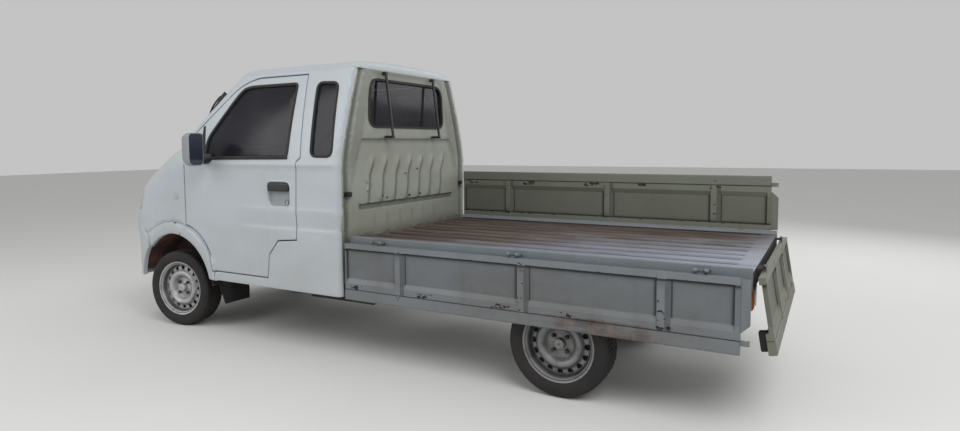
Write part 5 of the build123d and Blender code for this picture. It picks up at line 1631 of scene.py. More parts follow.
class DiscFace:
    """The wheel disc over its own plane; its height is a function of the radius alone."""

    @staticmethod
    def solid(uv):
        radius = np.hypot(uv[:, 0], uv[:, 1])
        points = np.column_stack([uv, disc_height(radius)])
        slope = (disc_height(radius + 0.001) - disc_height(np.maximum(radius - 0.001, 0))) / 0.002
        way = uv / np.maximum(radius, 1e-9)[:, None]
        normal = np.column_stack([-way * slope[:, None], np.ones(len(uv))])
        return points, normal / np.linalg.norm(normal, axis=1)[:, None]


def ring_points(radius, steps, centre=(0, 0)):
    """A circle's outline round a centre."""
    return circle(radius, steps) + np.array(centre)


def hexagon_nut(centre, across=0.019, height=0.013, base=0.027):
    """A wheel nut: a hexagon with chamfered corners that closes in a domed end."""
    steps = 48
    turn = np.arange(steps) / steps * 2 * math.pi
    flat = across / 2 / np.cos((turn + math.pi / 6) % (math.pi / 3) - math.pi / 6)
    levels = [(0, 1.0, 1), (height * 0.8, 1.0, 1),
              (height, 0.86, 0), (height * 1.25, 0.6, 0), (height * 1.32, 0.3, 0)]
    rows = []
    for z, share, hexed in levels:
        radius = (flat if hexed else np.minimum(flat, across / 2 * 1.02)) * share
        rows.append(np.column_stack([radius * np.cos(turn), radius * np.sin(turn), np.full(steps, base + z)]))
    points = np.concatenate(rows) + [*centre, 0]
    return points, stacked(len(levels), steps)


def wheel_mesh():
    """A steel wheel: the rim, the disc with its holes and the hub."""
    holes = [ring_points(HOLE_RADIUS, 20, (HOLE_CIRCLE * math.cos(a), HOLE_CIRCLE * math.sin(a)))
             for a in np.arange(HOLE_COUNT) / HOLE_COUNT * 2 * math.pi]
    rings = [ring_points(r, max(int(r * 2 * math.pi / 0.009), 12)) for r in np.arange(0.030, DISC_RADIUS, 0.0045)]
    disc = plate(DiscFace, ring_points(0.1535, 120),
                 holes + [ring_points(0.0275, 40)], 0.0045, 0.0008, 0.012, None, rings)
    hub = lathe(soften([(0.001, -0.006), (0.058, -0.006), (0.058, 0.020), (0.001, 0.020)], 1), 48)
    return joined([lathe(soften(rim_section()), 128), disc, hub])


def wheel_grime(points):
    """Painted shade and dirt in the wheel's gutters, round its crown and hub and inside the rim, by the distance from
    the axle.
    """
    radius = np.hypot(points[:, 0], points[:, 1])
    rings = ((0.1585, 0.004, 0.003, 0.85), (0.1735, 0.0018, 0.002, 0.80),
             (0.122, 0.004, 0.008, 0.30), (0.072, 0.003, 0.010, 0.35))
    marks = [share * bump(radius, place, half, soft) for place, half, soft, share in rings]
    marks.append(0.9 * smooth_step(points[:, 2], 0.020, 0.010))
    return np.maximum.reduce(marks)


def cap_mesh():
    """The hub's dust cap: a short cup with a domed lid."""
    section = [(0.0005, 0.020), (0.026, 0.020), (0.0262, 0.046), (0.025, 0.0495), (0.021, 0.0515), (0.0005, 0.0525)]
    return lathe(soften(section, 1), 64)


def tyre_mesh():
    """A closed tyre wall turned about the axle, its tread cut by three grooves round it and slots across it."""
    wall = np.array([
        (0.1765, 0.0570), (0.1800, 0.0660), (0.1900, 0.0725), (0.2020, 0.0775), (0.2180, 0.0795), (0.2330, 0.0785),
        (0.2450, 0.0745), (0.2540, 0.0680), (0.2585, 0.0600), (0.2605, 0.0520),
    ])
    tread_z = np.linspace(0.0500, -0.0500, 41)
    tread = np.column_stack([0.2620 - 0.0014 * (tread_z / 0.05) ** 2, tread_z])
    other = wall[::-1] * [1, -1]
    inside_line = np.array([
        (0.182, -0.048), (0.215, -0.064), (0.243, -0.062), (0.250, 0.0), (0.243, 0.062), (0.215, 0.064),
        (0.182, 0.048),
    ])
    steps = 480
    section = np.concatenate([wall, tread, other, inside_line])
    turn = np.arange(steps) / steps * 2 * math.pi
    radius = np.broadcast_to(section[None, :, 0], (steps, len(section))).copy()
    height = np.broadcast_to(section[None, :, 1], (steps, len(section)))
    on_tread = (np.arange(len(section)) >= 8) & (np.arange(len(section)) < 53)
    rings = sum(bump(height, centre, 0.0026, 0.0012) for centre in (-0.026, 0.0, 0.026))
    slant = turn[:, None] * 60 / (2 * math.pi) + np.abs(height) * 22
    slots = bump((slant % 1.0), 0.5, 0.10, 0.06) * smooth_step(np.abs(height), 0.012, 0.018)
    cut = np.clip(rings + slots * 0.8, 0, 1) * on_tread[None, :]
    radius -= 0.0065 * cut
    points = np.stack([radius * np.cos(turn)[:, None], radius * np.sin(turn)[:, None], height], -1).reshape(-1, 3)
    return points, grid_faces(steps, len(section), True, True).tolist()


one_wheel, one_cap, one_tyre = wheel_mesh(), cap_mesh(), tyre_mesh()
# The near-black ring of painted shade behind the disc's holes.
one_shade_drum = lathe(soften([(0.060, 0.006), (0.060, 0.017), (0.156, 0.017), (0.156, 0.006)], 1), 64)
one_nuts = joined([hexagon_nut((NUT_CIRCLE * math.cos(a), NUT_CIRCLE * math.sin(a)))
                   for a in math.pi / 4 + np.arange(4) * math.pi / 2])
for corner in ("front_left", "front_right", "rear_left", "rear_right"):
    spin = joints["wheel_" + corner + "_spin"]
    low, high = corners("tyre_" + corner)
    centre = (low + high) / 2
    axis = np.array(spin["axis"], float)
    outward_way = axis * (1 if axis[1] * centre[1] > 0 else -1)
    flat_x = np.cross(outward_way, (0, 0, 1))
    flat_x /= np.linalg.norm(flat_x)
    matrix = laid_along(flat_x, np.cross(outward_way, flat_x), outward_way, centre)
    body = "wheel_" + corner
    steel = front_steel if corner.startswith("front") else rear_steel_shaded
    wheel = piece(corner + "_wheel", *placed(one_wheel, matrix), steel, body, ("wheel_" + corner,), "wheel_steel")
    mark(wheel, "shade", lambda points: wheel_grime((points - centre) @ matrix[:3, :3]))
    piece(corner + "_cap", *placed(one_cap, matrix), steel, body)
    piece(corner + "_nuts", *placed(one_nuts, matrix), nut_metal, body)
    piece(corner + "_drum", *placed(one_shade_drum, matrix), shade_drum_black, body)
    piece(corner + "_tyre", *placed(one_tyre, matrix), tyre_rubber, body, ("tyre_" + corner,), "tyre_rubber", 50)


# Seals, trims and fittings on the cab.
def strip(chart, edge, width, thick, base=-0.004, closed=True, lift=None):
    """A soft strip of rounded section laid along a line on a chart's surface."""
    points, normal = chart.solid(np.asarray(edge))
    if lift:
        points = points + normal * lift(points)[:, None]
    half = width / 2
    profile = [(-half, base), (-half, thick * 0.55), (-half * 0.6, thick), (half * 0.6, thick), (half, thick * 0.55),
               (half, base)]
    return swept(soften(profile, 1), points, normal, closed)


def wall_place(x, z, lift=0.0):
    """A place on the cab's left wall and the way out of it."""
    points, normal = Around.solid(Around.flat(on_side(np.array([[x, z]]))))
    return points[0] + normal[0] * lift, normal[0]


window_uv = moved_edge(to_walls(door_window), 0.001)
waist = to_walls([(DOOR_FRONT - 0.200, BELT + 0.046), (0.450, BELT + 0.052)], closed=False)
door_seals = joined([
    strip(Around, window_uv, 0.018, 0.0035, -0.012),
    strip(Around, waist, 0.022, 0.007, -0.004, False),
])
sail_edge = to_walls([(1.168, BELT + 0.024), (1.228, BELT + 0.024), (1.244, 1.376), (1.229, 1.376)])
sail_plate = plate(Around, sail_edge, [], 0.006, 0.0015, 0.03, lambda points: np.full(len(points), 0.0035))
two_sides("door_{}_seals", joined([door_seals, sail_plate]), rubber, "door_{}", None)
quarter_seal = strip(Around, moved_edge(to_walls(quarter_window), 0.001), 0.016, 0.003, -0.012)
rear_seal = strip(Behind, moved_edge(spaced(rear_window, 0.012), 0.001), 0.016, -0.002, -0.022)
screen_seal = strip(Around, screen_outline, 0.020, 0.004, -0.006)
piece("window_seals", *joined([both(quarter_seal), rear_seal, screen_seal]), rubber, "chassis")
bright = Finish("bright_metal", Metallic=1.0)
bright.colour(bright.mix(tone(196, 196, 198), tone(150, 148, 146), bright.noise(60.0).step(0.4, 0.7)))
bright.rough(0.22 + bright.noise(90.0) * 0.12)
bright = bright.material

# Door handles: a black pull across the top of the cup and a key lock below its rear end.
pull_place, _ = wall_place(0.524, 0.995)
pull = soft_box((0.438, pull_place[1] - 0.013, 0.968), (0.610, pull_place[1] + 0.010, 1.022), 0.012)
pivots = [soft_box((x - 0.010, pull_place[1] - 0.020, 1.004), (x + 0.010, pull_place[1] - 0.008, 1.018), 0.003)
          for x in (0.452, 0.596)]
two_sides("door_{}_pull", joined([pull] + pivots), trim, "door_{}", None)
lock_centre, _ = wall_place(0.470, 0.902, -0.020)
lock_section = soften([
    (0.0005, -0.004), (0.0145, -0.004), (0.0145, 0.0070), (0.0118, 0.0090), (0.0108, 0.0040), (0.0070, 0.0040),
    (0.0066, 0.0075), (0.0005, 0.0075),
], 1)
lock_matrix = Matrix.Translation(lock_centre) @ Matrix.Rotation(-math.pi / 2, 4, "X")
two_sides("door_{}_lock", placed(lathe(lock_section, 40), lock_matrix), bright, "door_{}", None)
slot_low = lock_centre + [-0.0014, 0.0066, -0.0050]
two_sides("door_{}_keyway", soft_box(slot_low, slot_low + [0.0028, 0.0016, 0.010], 0.0004), trim, "door_{}", None)

# Side repeaters, flare plugs and the joint across each flare.
repeater_place, _ = wall_place(1.482, 0.907)
repeater = soft_box(repeater_place - [0.024, 0.004, 0.017], repeater_place + [0.024, 0.006, 0.017], 0.004)
repeater_lens = Finish("repeater_lens", Roughness=0.2, Coat_Weight=0.6)
repeater_lens.colour(repeater_lens.mix(tone(176, 182, 184), tone(150, 150, 140), repeater_lens.noise(50.0)))
piece("side_repeaters", *both(repeater), repeater_lens.material, "chassis")
plug_place, _ = wall_place(1.485, 0.724, 0.013)
plug = soft_box(plug_place - [0.013, 0.004, 0.006], plug_place + [0.013, 0.002, 0.006], 0.004)
joint_line = to_walls([(1.412, 0.712), (1.446, 0.640)], 0.006, False)
joint = strip(Around, joint_line, 0.0022, 0.0146, 0.004, False)
piece("flare_plugs", *joined([both(plug), both(joint)]), rubber, "chassis")


# Mirrors: a domed housing open to the rear, its glass set in a bezel, on a short foot.
MIRROR_LOW = np.array([1.088, 0.806, 1.120])
MIRROR_HIGH = np.array([1.186, 0.913, 1.328])


def mirror_housing(shares, places):
    """The mirror's outline, drawn in by each share about its middle at each place along the cab."""
    low, high = MIRROR_LOW[1:], MIRROR_HIGH[1:]
    outline = rounded([low, (high[0], low[1]), high, (low[0], high[1])], [0.030, 0.040, 0.030, 0.022])
    middle = (low + high) / 2
    rows = [np.column_stack([np.full(len(outline), x), middle + (outline - middle) * share])
            for share, x in zip(shares, places)]
    return np.concatenate(rows), len(outline)


turn = np.linspace(0, math.pi / 2, 14)
shares = np.concatenate([[0.02, 0.86, 0.90, 0.95, 0.985, 1.0], np.cos(turn[1:-1]) ** 0.55, [0.02]])
places = np.concatenate([
    [MIRROR_LOW[0] + 0.012, MIRROR_LOW[0] + 0.012, MIRROR_LOW[0] + 0.003, MIRROR_LOW[0], MIRROR_LOW[0] + 0.001,
     MIRROR_LOW[0] + 0.020],
    MIRROR_LOW[0] + 0.026 + 0.072 * np.sin(turn[1:-1]), [MIRROR_HIGH[0]],
])
points, size = mirror_housing(shares, places)
# The mirror cap's paint is a darker grey copy of the cab's paint, as painted shade.
cap_paint_shaded = painted("mirror_cap_paint", tone(132, 136, 140), tone(112, 112, 110), tone(60, 56, 54))
two_sides("mirror_{}_cap", (points, stacked(len(shares), size)), cap_paint_shaded, "door_{}", "mirror_{}", "mirror_housing")
points, size = mirror_housing([0.02, 0.925, 0.955, 0.955, 0.02],
                              MIRROR_LOW[0] + np.array([0.0005, 0.0005, 0.004, 0.010, 0.010]))
mirror_face = Finish("mirror_face", Roughness=0.08, Specular_IOR_Level=0.7)
# The glass is painted lighter toward its top, as a painted reflection.
mirror_face.colour(mirror_face.mix(tone(38, 42, 52), tone(58, 62, 72), mirror_face.z.step(1.14, 1.32)))
two_sides("mirror_{}_glass", (points, stacked(5, size)), mirror_face.material, "door_{}", None)
foot_path = np.array([(1.150, 0.712, 1.152), (1.148, 0.745, 1.146), (1.140, 0.780, 1.142), (1.128, 0.820, 1.150)])
foot = swept(soften(rounded([(-0.026, -0.014), (0.026, -0.014), (0.026, 0.014), (-0.026, 0.014)], 0.008), 0),
             foot_path, (0, 0, 1))
base_place, _ = wall_place(1.160, 1.165)
base = soft_box(base_place - [0.045, 0.012, 0.030], base_place + [0.040, 0.006, 0.030], 0.006)
two_sides("mirror_{}_foot", joined([foot, base]), trim, "door_{}", None)

# Rear window guard, wipers and the buffer in the corner channel.
bars = []
for y in (-0.270, 0.270):
    bars += [
        tube([(0.046, y, 1.690), (-0.004, y, 1.288)], 0.0085),
        soft_box((-0.008, y - 0.013, 1.284), (CAB_REAR + 0.006, y + 0.013, 1.300), 0.003),
        soft_box((0.036, y - 0.013, 1.676), (CAB_REAR + 0.030, y + 0.013, 1.694), 0.003),
    ]
piece("guard_bars", *joined(bars), trim, "chassis", ("window_guard",), "black_trim")
corner_buffer = soft_box((CAB_REAR - 0.010, 0.620, 0.944), (CAB_REAR + 0.022, 0.660, 0.972), 0.005)
piece("corner_buffers", *both(corner_buffer), rubber, "chassis")
# Short black rods stand for small holes in the wall; their black is painted shade inside the holes.
holes = [tube([(CAB_REAR - 0.0012, y, z), (CAB_REAR + 0.010, y, z)], r, 16)
         for y, z, r in ((0.268, 0.914, 0.005), (0.020, 0.912, 0.007), (-0.105, 0.914, 0.006), (0.31, 0.928, 0.003),
                         (-0.08, 1.083, 0.0035), (0.06, 1.058, 0.0035))]
piece("wall_holes", *joined(holes), trim, "chassis")


def on_screen(points):
    """Places on the windscreen and the way out of it, from rough places near it."""
    return Around.solid(Around.flat(np.asarray(points, float)))


def wiper(boss, middle, way, half=0.17, arch=0.0):
    """A wiper: a round boss, a tapering arm that stands off the glass and a blade on it."""
    (root, centre), normals = on_screen([boss, middle])
    made = [tube([root - normals[0] * 0.004, root + normals[0] * 0.016], 0.012, 24)]
    share = np.linspace(0, 1, 12)[:, None]
    arm = root + (centre - root) * share + normals[0] * (0.012 + 0.014 * np.sin(share * math.pi))
    made.append(swept([(-0.006, -0.002), (0.006, -0.002), (0.005, 0.003), (-0.005, 0.003)], arm, normals[0]))
    line = centre + np.linspace(-half, half, 30)[:, None] * (np.array(way) / np.linalg.norm(way))
    feet, out = on_screen(line)
    bridge = np.linspace(-1, 1, 30)[5:-5, None]
    made.append(swept([(-0.004, -0.004), (0.004, -0.004), (0.003, 0.004), (-0.003, 0.004)],
                      feet[5:-5] + out[5:-5] * (0.024 + (0.004 + arch) * np.cos(bridge * 2.2)), out[5:-5]))
    blade = [(-0.0015, 0.0005), (0.0015, 0.0005), (0.005, 0.014), (0.004, 0.024), (-0.004, 0.024), (-0.005, 0.014)]
    made.append(swept(blade, feet, out))
    return joined(made)


pillar_way = np.array([ROOF_FRONT - COWL, -0.09, ROOF_TOP - 0.077 - COWL_Z])
wipers = joined([
    wiper((COWL - 0.010, 0.380, COWL_Z + 0.010), (1.190, 0.598, 1.502), pillar_way, 0.125, 0.010),
    wiper((COWL - 0.010, -0.060, COWL_Z + 0.010), (1.330, -0.340, 1.362), (0.02, 1.0, 0.02)),
])
piece("wiper_arms", *wipers, trim, "chassis", ("wipers",), "black_trim")

# Lamps and grille at the nose.
lamp_glass = Finish("lamp_glass", Roughness=0.05, Coat_Weight=0.5, Alpha=0.10)
flute = lamp_glass.noise(40.0)
lamp_glass.colour(lamp_glass.mix(tone(214, 220, 224), tone(196, 200, 198), flute))
lamp_glass = lamp_glass.material
reflector = Finish("lamp_reflector", Metallic=1.0)
reflector.colour(reflector.mix(tone(238, 238, 238), tone(206, 206, 208), reflector.noise(30.0)))
reflector.rough(0.16 + reflector.noise(60.0) * 0.1)
reflector = reflector.material


def sunk(depth):
    """A relief that lies a depth under the nose's face."""
    return lambda points: nose_press(points) - depth


lamp_edge = moved_edge(lamp_left, 0.004)
lens = plate(nose_chart, lamp_edge, [], 0.003, 0.001, 0.03, sunk(0.003))
piece("lamp_lenses", *both(lens), lamp_glass, "chassis", ("headlamps",), "lamp_clear")
bowl = lathe(soften([
    (0.0005, -0.030), (0.022, -0.026), (0.040, -0.010), (0.049, 0.012), (0.052, 0.012), (0.043, -0.014),
    (0.024, -0.031), (0.0005, -0.035),
], 1), 64)
bulb = lathe(soften([(0.0005, -0.034), (0.007, -0.034), (0.007, -0.012), (0.005, -0.004), (0.0005, -0.002)], 1), 24)
bowls = []
for y in (0.470, 0.590):
    seat, out = nose_chart.solid(nose_chart.flat(on_front(y, 0.865)))
    across = np.cross((0, 0, 1.0), out[0])
    across /= np.linalg.norm(across)
    seat = seat[0] + out[0] * (nose_press(seat)[0] - 0.024)
    matrix = laid_along(across, np.cross(out[0], across), out[0], seat)
    bowls += [placed(bowl, matrix), placed(bulb, matrix)]
housing = plate(nose_chart, lamp_edge, [], 0.004, 0.001, 0.03, sunk(0.056))
walls = strip(nose_chart, lamp_edge, 0.003, -0.003, -0.058, True, nose_press)
piece("lamp_bowls", *both(joined(bowls)), reflector, "chassis")
lamp_lining = plain("lamp_housing", tone(84, 86, 90), tone(58, 58, 60), 0.4, 60, 0.6)
piece("lamp_housings", *both(joined([housing, walls])), lamp_lining, "chassis")
grille_edge = moved_edge(grille_hole, -0.003)
backing = plate(nose_chart, grille_edge, [], 0.004, 0.001, 0.03, sunk(0.022))


def grille_bar(line, half, face):
    """A bar set back into the nose along a line on it; half is half its width and face how far back it shows."""
    out = outward(cab_field, line)
    section = [(-half, -0.022), (half, -0.022), (half - 0.0005, face), (0.0005 - half, face)]
    return swept(soften(section, 1), line + out * nose_press(line)[:, None], out)


level_bars = [grille_bar(on_front(np.linspace(-0.372, 0.372, 50), z), 0.004, -0.004)
              for z in np.linspace(0.815, 0.885, 5)]
upright_bars = [grille_bar(on_front(y, np.linspace(0.802, 0.898, 8)), 0.003, -0.007)
                for y in np.linspace(-0.31, 0.31, 9)]
piece("grille_bars", *joined([backing] + level_bars + upright_bars), trim, "chassis", ("grille",), "black_trim")


# Wheel arches: a liner round each front wheel, open below.
def arch_liner(turn, across, radius):
    """A thin sheet turned round the arch: each place across it has its own radius."""
    shape = (len(turn), len(across))
    grids = []
    for shift in (0.0, 0.003):
        reach = radius + shift
        grids.append(np.stack([
            ARCH[0] + reach * np.cos(turn)[:, None],
            np.broadcast_to(across - shift, shape),
            ARCH[1] + reach * np.sin(turn)[:, None],
        ], -1).reshape(-1, 3))
    return tied(*grids, *shape)


rusty = Finish("underbody_rust")
mottle = rusty.noise(9.0, 5.0, 0.65)
rusty.colour(rusty.mix(tone(52, 42, 38), tone(112, 62, 44), mottle.step(0.42, 0.66)))
rusty.rough(0.8 + mottle * 0.1)
rusty.bump(rusty.noise(120.0, 4.0, 0.6), 0.001, 0.6)
rusty = rusty.material
liner = joined([
    arch_liner(np.linspace(0.24, math.pi - 0.10, 70),
               np.concatenate([np.linspace(0.724, 0.470, 12), np.linspace(0.466, 0.462, 3)]),
               np.concatenate([np.full(12, ARCH_RADIUS + 0.006), [ARCH_RADIUS, ARCH_RADIUS - 0.06, 0.27]])),
    arch_liner(np.linspace(1.10, math.pi - 1.10, 30),
               np.array([0.463, 0.456, 0.455]), np.array([0.282, 0.262, 0.130])),
])
piece("arch_liners", *both(liner), rusty, "chassis")

# Mud flaps: thin rubber sheets that hang behind the front wheels.
FLAP_REAR = corners("mudflaps")[0][0]
FLAP_IN, FLAP_OUT, FLAP_FOOT, FLAP_TOP = 0.470, 0.706, 0.202, 0.455


def flap():
    """A sheet whose outer edge curls forward toward the wheel, more so toward its top, and draws in at its foot."""
    def depth(u, v):
        share = (v - FLAP_FOOT) / (FLAP_TOP - FLAP_FOOT)
        return 0.060 * share * smooth_step(u, 0.62, FLAP_OUT) + 0.0015 * bump(v, 0.235, 0.002, 0.004)

    us, vs = np.linspace(FLAP_IN, FLAP_OUT, 26), np.linspace(FLAP_FOOT, FLAP_TOP, 30)
    points, faces = slab(us, vs, depth, lambda u, v: depth(u, v) + 0.0045)
    rise = np.clip((points[:, 2] - FLAP_FOOT) / 0.20, 0, 1)
    across = FLAP_IN + (points[:, 0] - FLAP_IN) * (0.87 + 0.13 * rise)
    return np.column_stack([points[:, 1] + FLAP_REAR - 0.002, across, points[:, 2]]), faces


piece("mud_flaps", *both(flap()), rubber, "chassis", ("mudflaps",), "flap_rubber")

# The bed's folded rims, in lengths between the hinges.
rim_ends = [BED_REAR] + sorted(x + side * FLOOR_NOTCH for x in GATE_HINGES for side in (-1, 1)) + [BED_FRONT]
RIM_OUT = BED_HALF + 0.0015
fold = np.array([
    (BED_HALF - 0.034, 0.0002), (BED_HALF - 0.034, 0.0025), (BED_HALF - 0.022, 0.0160), (BED_HALF - 0.012, 0.0192),
    (RIM_OUT - 0.003, 0.0186), (RIM_OUT, 0.0150), (RIM_OUT, -0.0700),
    (BED_HALF + 0.0002, -0.0700), (BED_HALF + 0.0002, 0.0002),
])
rims = []
for low, high in zip(rim_ends[::2], rim_ends[1::2]):
    path = np.column_stack([np.linspace(low, high, 20), np.zeros(20), np.full(20, BED_TOP)])
    rims.append(swept(fold * [-1, 1], path, (0, 0, 1)))
through = np.concatenate([fold[:4], [(BED_HALF - 0.003, 0.0186), (BED_HALF, 0.0150), (BED_HALF, 0.0002)]])
for centre in GATE_HINGES:
    path = np.array([(centre - FLOOR_NOTCH - 0.001, 0, BED_TOP), (centre + FLOOR_NOTCH + 0.001, 0, BED_TOP)])
    rims.append(swept(through * [-1, 1], path, (0, 0, 1)))
piece("bed_rims", *both(joined(rims)), gate_paint, "chassis")


# What shows of the plain solids below: each gets its own worn surface.
def finish_nodes(material, *names):
    """Gives plain solids a finish."""
    for name in names:
        mesh = nodes[name].data
        mesh.materials.clear()
        mesh.materials.append(material)


chassis_paint = Finish("chassis_paint")
mud = chassis_paint.noise(5.0, 5.0, 0.65)
flake = chassis_paint.noise(40.0, 4.0, 0.6)
under = chassis_paint.mix(tone(38, 36, 35), tone(84, 62, 48), mud.step(0.45, 0.7) * 0.7)
edge_rail = chassis_paint.y.size().step(0.600, 0.640) * chassis_paint.z.step(0.600, 0.625)
painted_rail = chassis_paint.mix(tone(104, 112, 118), tone(70, 52, 42), flake.step(0.58, 0.64))
chassis_paint.colour(chassis_paint.mix(under, painted_rail, edge_rail))
chassis_paint.rough(0.62 + flake * 0.2)
chassis_paint.bump(flake, 0.0006, 0.5)
finish_nodes(chassis_paint.material, "bed_frame", "frame",
             "front_suspension", "knuckle_left", "knuckle_right", "leaf_springs",
             "propshaft", "rear_axle")
finish_nodes(plain("engine_casting", tone(86, 84, 80), tone(62, 54, 48), 0.6, 30, 0.5, 0.001), "engine_block")
finish_nodes(plain("exhaust_steel_old", tone(96, 84, 74), tone(88, 58, 42), 0.6, 40, 0.4), "exhaust")
finish_nodes(plain("tank_steel", tone(48, 47, 46), tone(74, 60, 50), 0.55, 20, 0.2), "fuel_tank")
finish_nodes(plain("floor_mat", tone(42, 40, 38), tone(66, 60, 54), 0.85, 30), "cab_floor")
lamp_red = Finish("tail_lens", Roughness=0.18, Coat_Weight=0.6)
outward_y = lamp_red.y.size()
zones = lamp_red.mix(lamp_red.mix(tone(150, 152, 150), tone(128, 18, 16), outward_y.step(0.474, 0.475)),
                     tone(186, 92, 22), outward_y.step(0.544, 0.545))
lamp_red.colour(lamp_red.mix(zones, tone(64, 46, 40), lamp_red.noise(20.0).step(0.52, 0.8) * 0.6))
flutes = lamp_red.value("ShaderNodeTexWave", {"bands_direction": "Y"}, {"Vector": lamp_red.place, "Scale": 60.0}, 1)
lamp_red.bump(flutes, 0.0015, 0.7)
low, high = corners("tail_lamps")
lens_box = soft_box((low[0] + 0.0005, high[1] - 0.166, low[2] + 0.004),
                    (low[0] + 0.022, high[1] - 0.004, high[2] - 0.004), 0.008)
ridges = [soft_box((low[0] + 0.0002, y - 0.0015, low[2] + 0.004),
                   (low[0] + 0.020, y + 0.0015, high[2] - 0.004), 0.001) for y in (0.475, 0.545)]
housing = soft_box((low[0] + 0.012, high[1] - 0.170, low[2]), (high[0], high[1], high[2]), 0.005)
screws = [soft_box((low[0], y - 0.004, (low[2] + high[2]) / 2 - 0.004),
                   (low[0] + 0.004, y + 0.004, (low[2] + high[2]) / 2 + 0.004), 0.0035)
          for y in (0.452, 0.578)]
lenses = joined([lens_box] + ridges + screws)
piece("tail_lamp_lenses", *both(lenses), lamp_red.material, "chassis", ("tail_lamps",), "lamp_red")
piece("tail_lamp_housings", *both(housing), trim, "chassis")

# Door cards with an armrest, a window winder and a release lever.
card_edge = moved_edge(spaced(DOOR, 0.02), 0.045)
card_edge = card_edge[card_edge[:, 1] < BELT - 0.014]
card_fabric = plain("door_card", tone(62, 64, 68), tone(84, 82, 78), 0.8, 40)


def card_press(points):
    """The card inside the door's inner wall: a raised border round its middle and a cover over the latch."""
    flat = points[:, [0, 2]]
    ring = bump(edge_distance(flat, card_edge), 0.060, 0.004, 0.010)
    cover = edge_distance(flat, handle_edge) * np.where(inside(flat, handle_edge), 1, -1)
    return -0.0365 - 0.003 * ring - 0.0230 * smooth_step(cover, -0.030, -0.014)


card_lines = [to_walls(moved_edge(card_edge, inset), 0.02) for inset in (0.048, 0.060, 0.072)]
card_lines += [to_walls(moved_edge(handle_edge, inset)) for inset in (-0.030, -0.014)]
card = plate(Around, to_walls(card_edge), [], 0.004, 0.001, 0.024, card_press, card_lines)
two_sides("door_{}_card", card, card_fabric, "door_{}", None)
winder = placed(lathe([(0.0004, 0.0), (0.026, 0.0), (0.028, -0.008), (0.020, -0.014), (0.0004, -0.015)], 40),
                Matrix.Translation((0.760, 0.688, 0.800)) @ Matrix.Rotation(math.radians(-90), 4, "X"))
winder_arm = swept(soften([(-0.008, -0.003), (0.008, -0.003), (0.008, 0.003), (-0.008, 0.003)]),
                   np.array([(0.760, 0.671, 0.800), (0.700, 0.667, 0.790), (0.650, 0.664, 0.782)]), (0, 1, 0))
winder_knob = tube([(0.652, 0.668, 0.782), (0.652, 0.636, 0.782)], 0.008, 20)
armrest = soft_box((0.480, 0.634, 0.890), (0.860, 0.690, 0.936), 0.014)
lever = soft_box((0.900, 0.672, 0.955), (1.000, 0.692, 0.990), 0.006)
two_sides("door_{}_inner_fittings", joined([winder, winder_arm, winder_knob, armrest, lever]), trim, "door_{}", None)

# Seats: pads swollen by cloth pressure, with sewn channels and piping, on headrest posts.
def evaluated(thing):
    """The points and four-sided faces of an object with its modifiers worked out."""
    mesh = thing.evaluated_get(bpy.context.evaluated_depsgraph_get()).to_mesh()
    points = np.empty(len(mesh.vertices) * 3)
    mesh.vertices.foreach_get("co", points)
    corner = np.empty(len(mesh.loops), np.int32)
    mesh.loops.foreach_get("vertex_index", corner)
    thing.evaluated_get(bpy.context.evaluated_depsgraph_get()).to_mesh_clear()
    return points.reshape(-1, 3), corner.reshape(-1, 4)


def bench(mesh):
    """A passing object to work a mesh on."""
    data = bpy.data.meshes.new("bench")
    points, faces = mesh
    if isinstance(faces, np.ndarray):
        faces = faces.tolist()
    data.from_pydata(np.asarray(points).tolist(), [], faces)
    thing = bpy.data.objects.new("bench", data)
    bpy.context.scene.collection.objects.link(thing)
    return thing


def cleared(thing):
    """Removes a helper mesh and its data."""
    data = thing.data
    bpy.data.objects.remove(thing)
    bpy.data.meshes.remove(data)


def voxels(mesh, size):
    """A closed mesh rebuilt from even voxels."""
    thing = bench(mesh)
    rebuild = thing.modifiers.new("voxels", "REMESH")
    rebuild.mode = "VOXEL"
    rebuild.voxel_size = size
    made = evaluated(thing)
    cleared(thing)
    return made


def swollen(mesh, pressure=4.0, cap=0.009):
    """A pad swollen by cloth pressure, no point further than the cap from where it began."""
    thing = bench(mesh)
    cloth = thing.modifiers.new("swell", "CLOTH")
    cloth.settings.use_pressure = True
    cloth.settings.uniform_pressure_force = pressure
    cloth.settings.effector_weights.gravity = 0
    scene = bpy.context.scene
    for number in range(1, 21):
        scene.frame_set(number)
    moved, faces = evaluated(thing)
    cleared(thing)
    scene.frame_set(1)
    step = moved - mesh[0]
    length = np.linalg.norm(step, axis=1)
    share = np.minimum(1, cap / np.maximum(length, 1e-9))
    return mesh[0] + step * share[:, None], faces


def pad_top(u, v, crown, bolster, channels):
    """The rise of a pad's face over its length and width, each from -1 to 1: a crown, raised sides and channels."""
    middle = (1 - np.clip(np.abs(u), 0, 1) ** 2.4) * (1 - np.clip(np.abs(v), 0, 1) ** 4)
    sides = bump(np.abs(v), 0.84, 0.05, 0.16) * (1 - np.clip(np.abs(u), 0, 1) ** 6)
    seams = sum(bump(u, place, 0.004, 0.035) * (np.abs(v) < 0.62) for place in channels)
    sewn = bump(np.abs(v), 0.62, 0.004, 0.035) + seams
    return crown * middle + bolster * sides - 0.006 * np.clip(sewn, 0, 1) * (np.abs(u) < 0.94)


SEAT_Y = 0.330
VOXEL = 0.006
CUSHION_LOW, CUSHION_HIGH = np.array([0.232, 0.097, 0.642]), np.array([0.696, 0.563, 0.752])


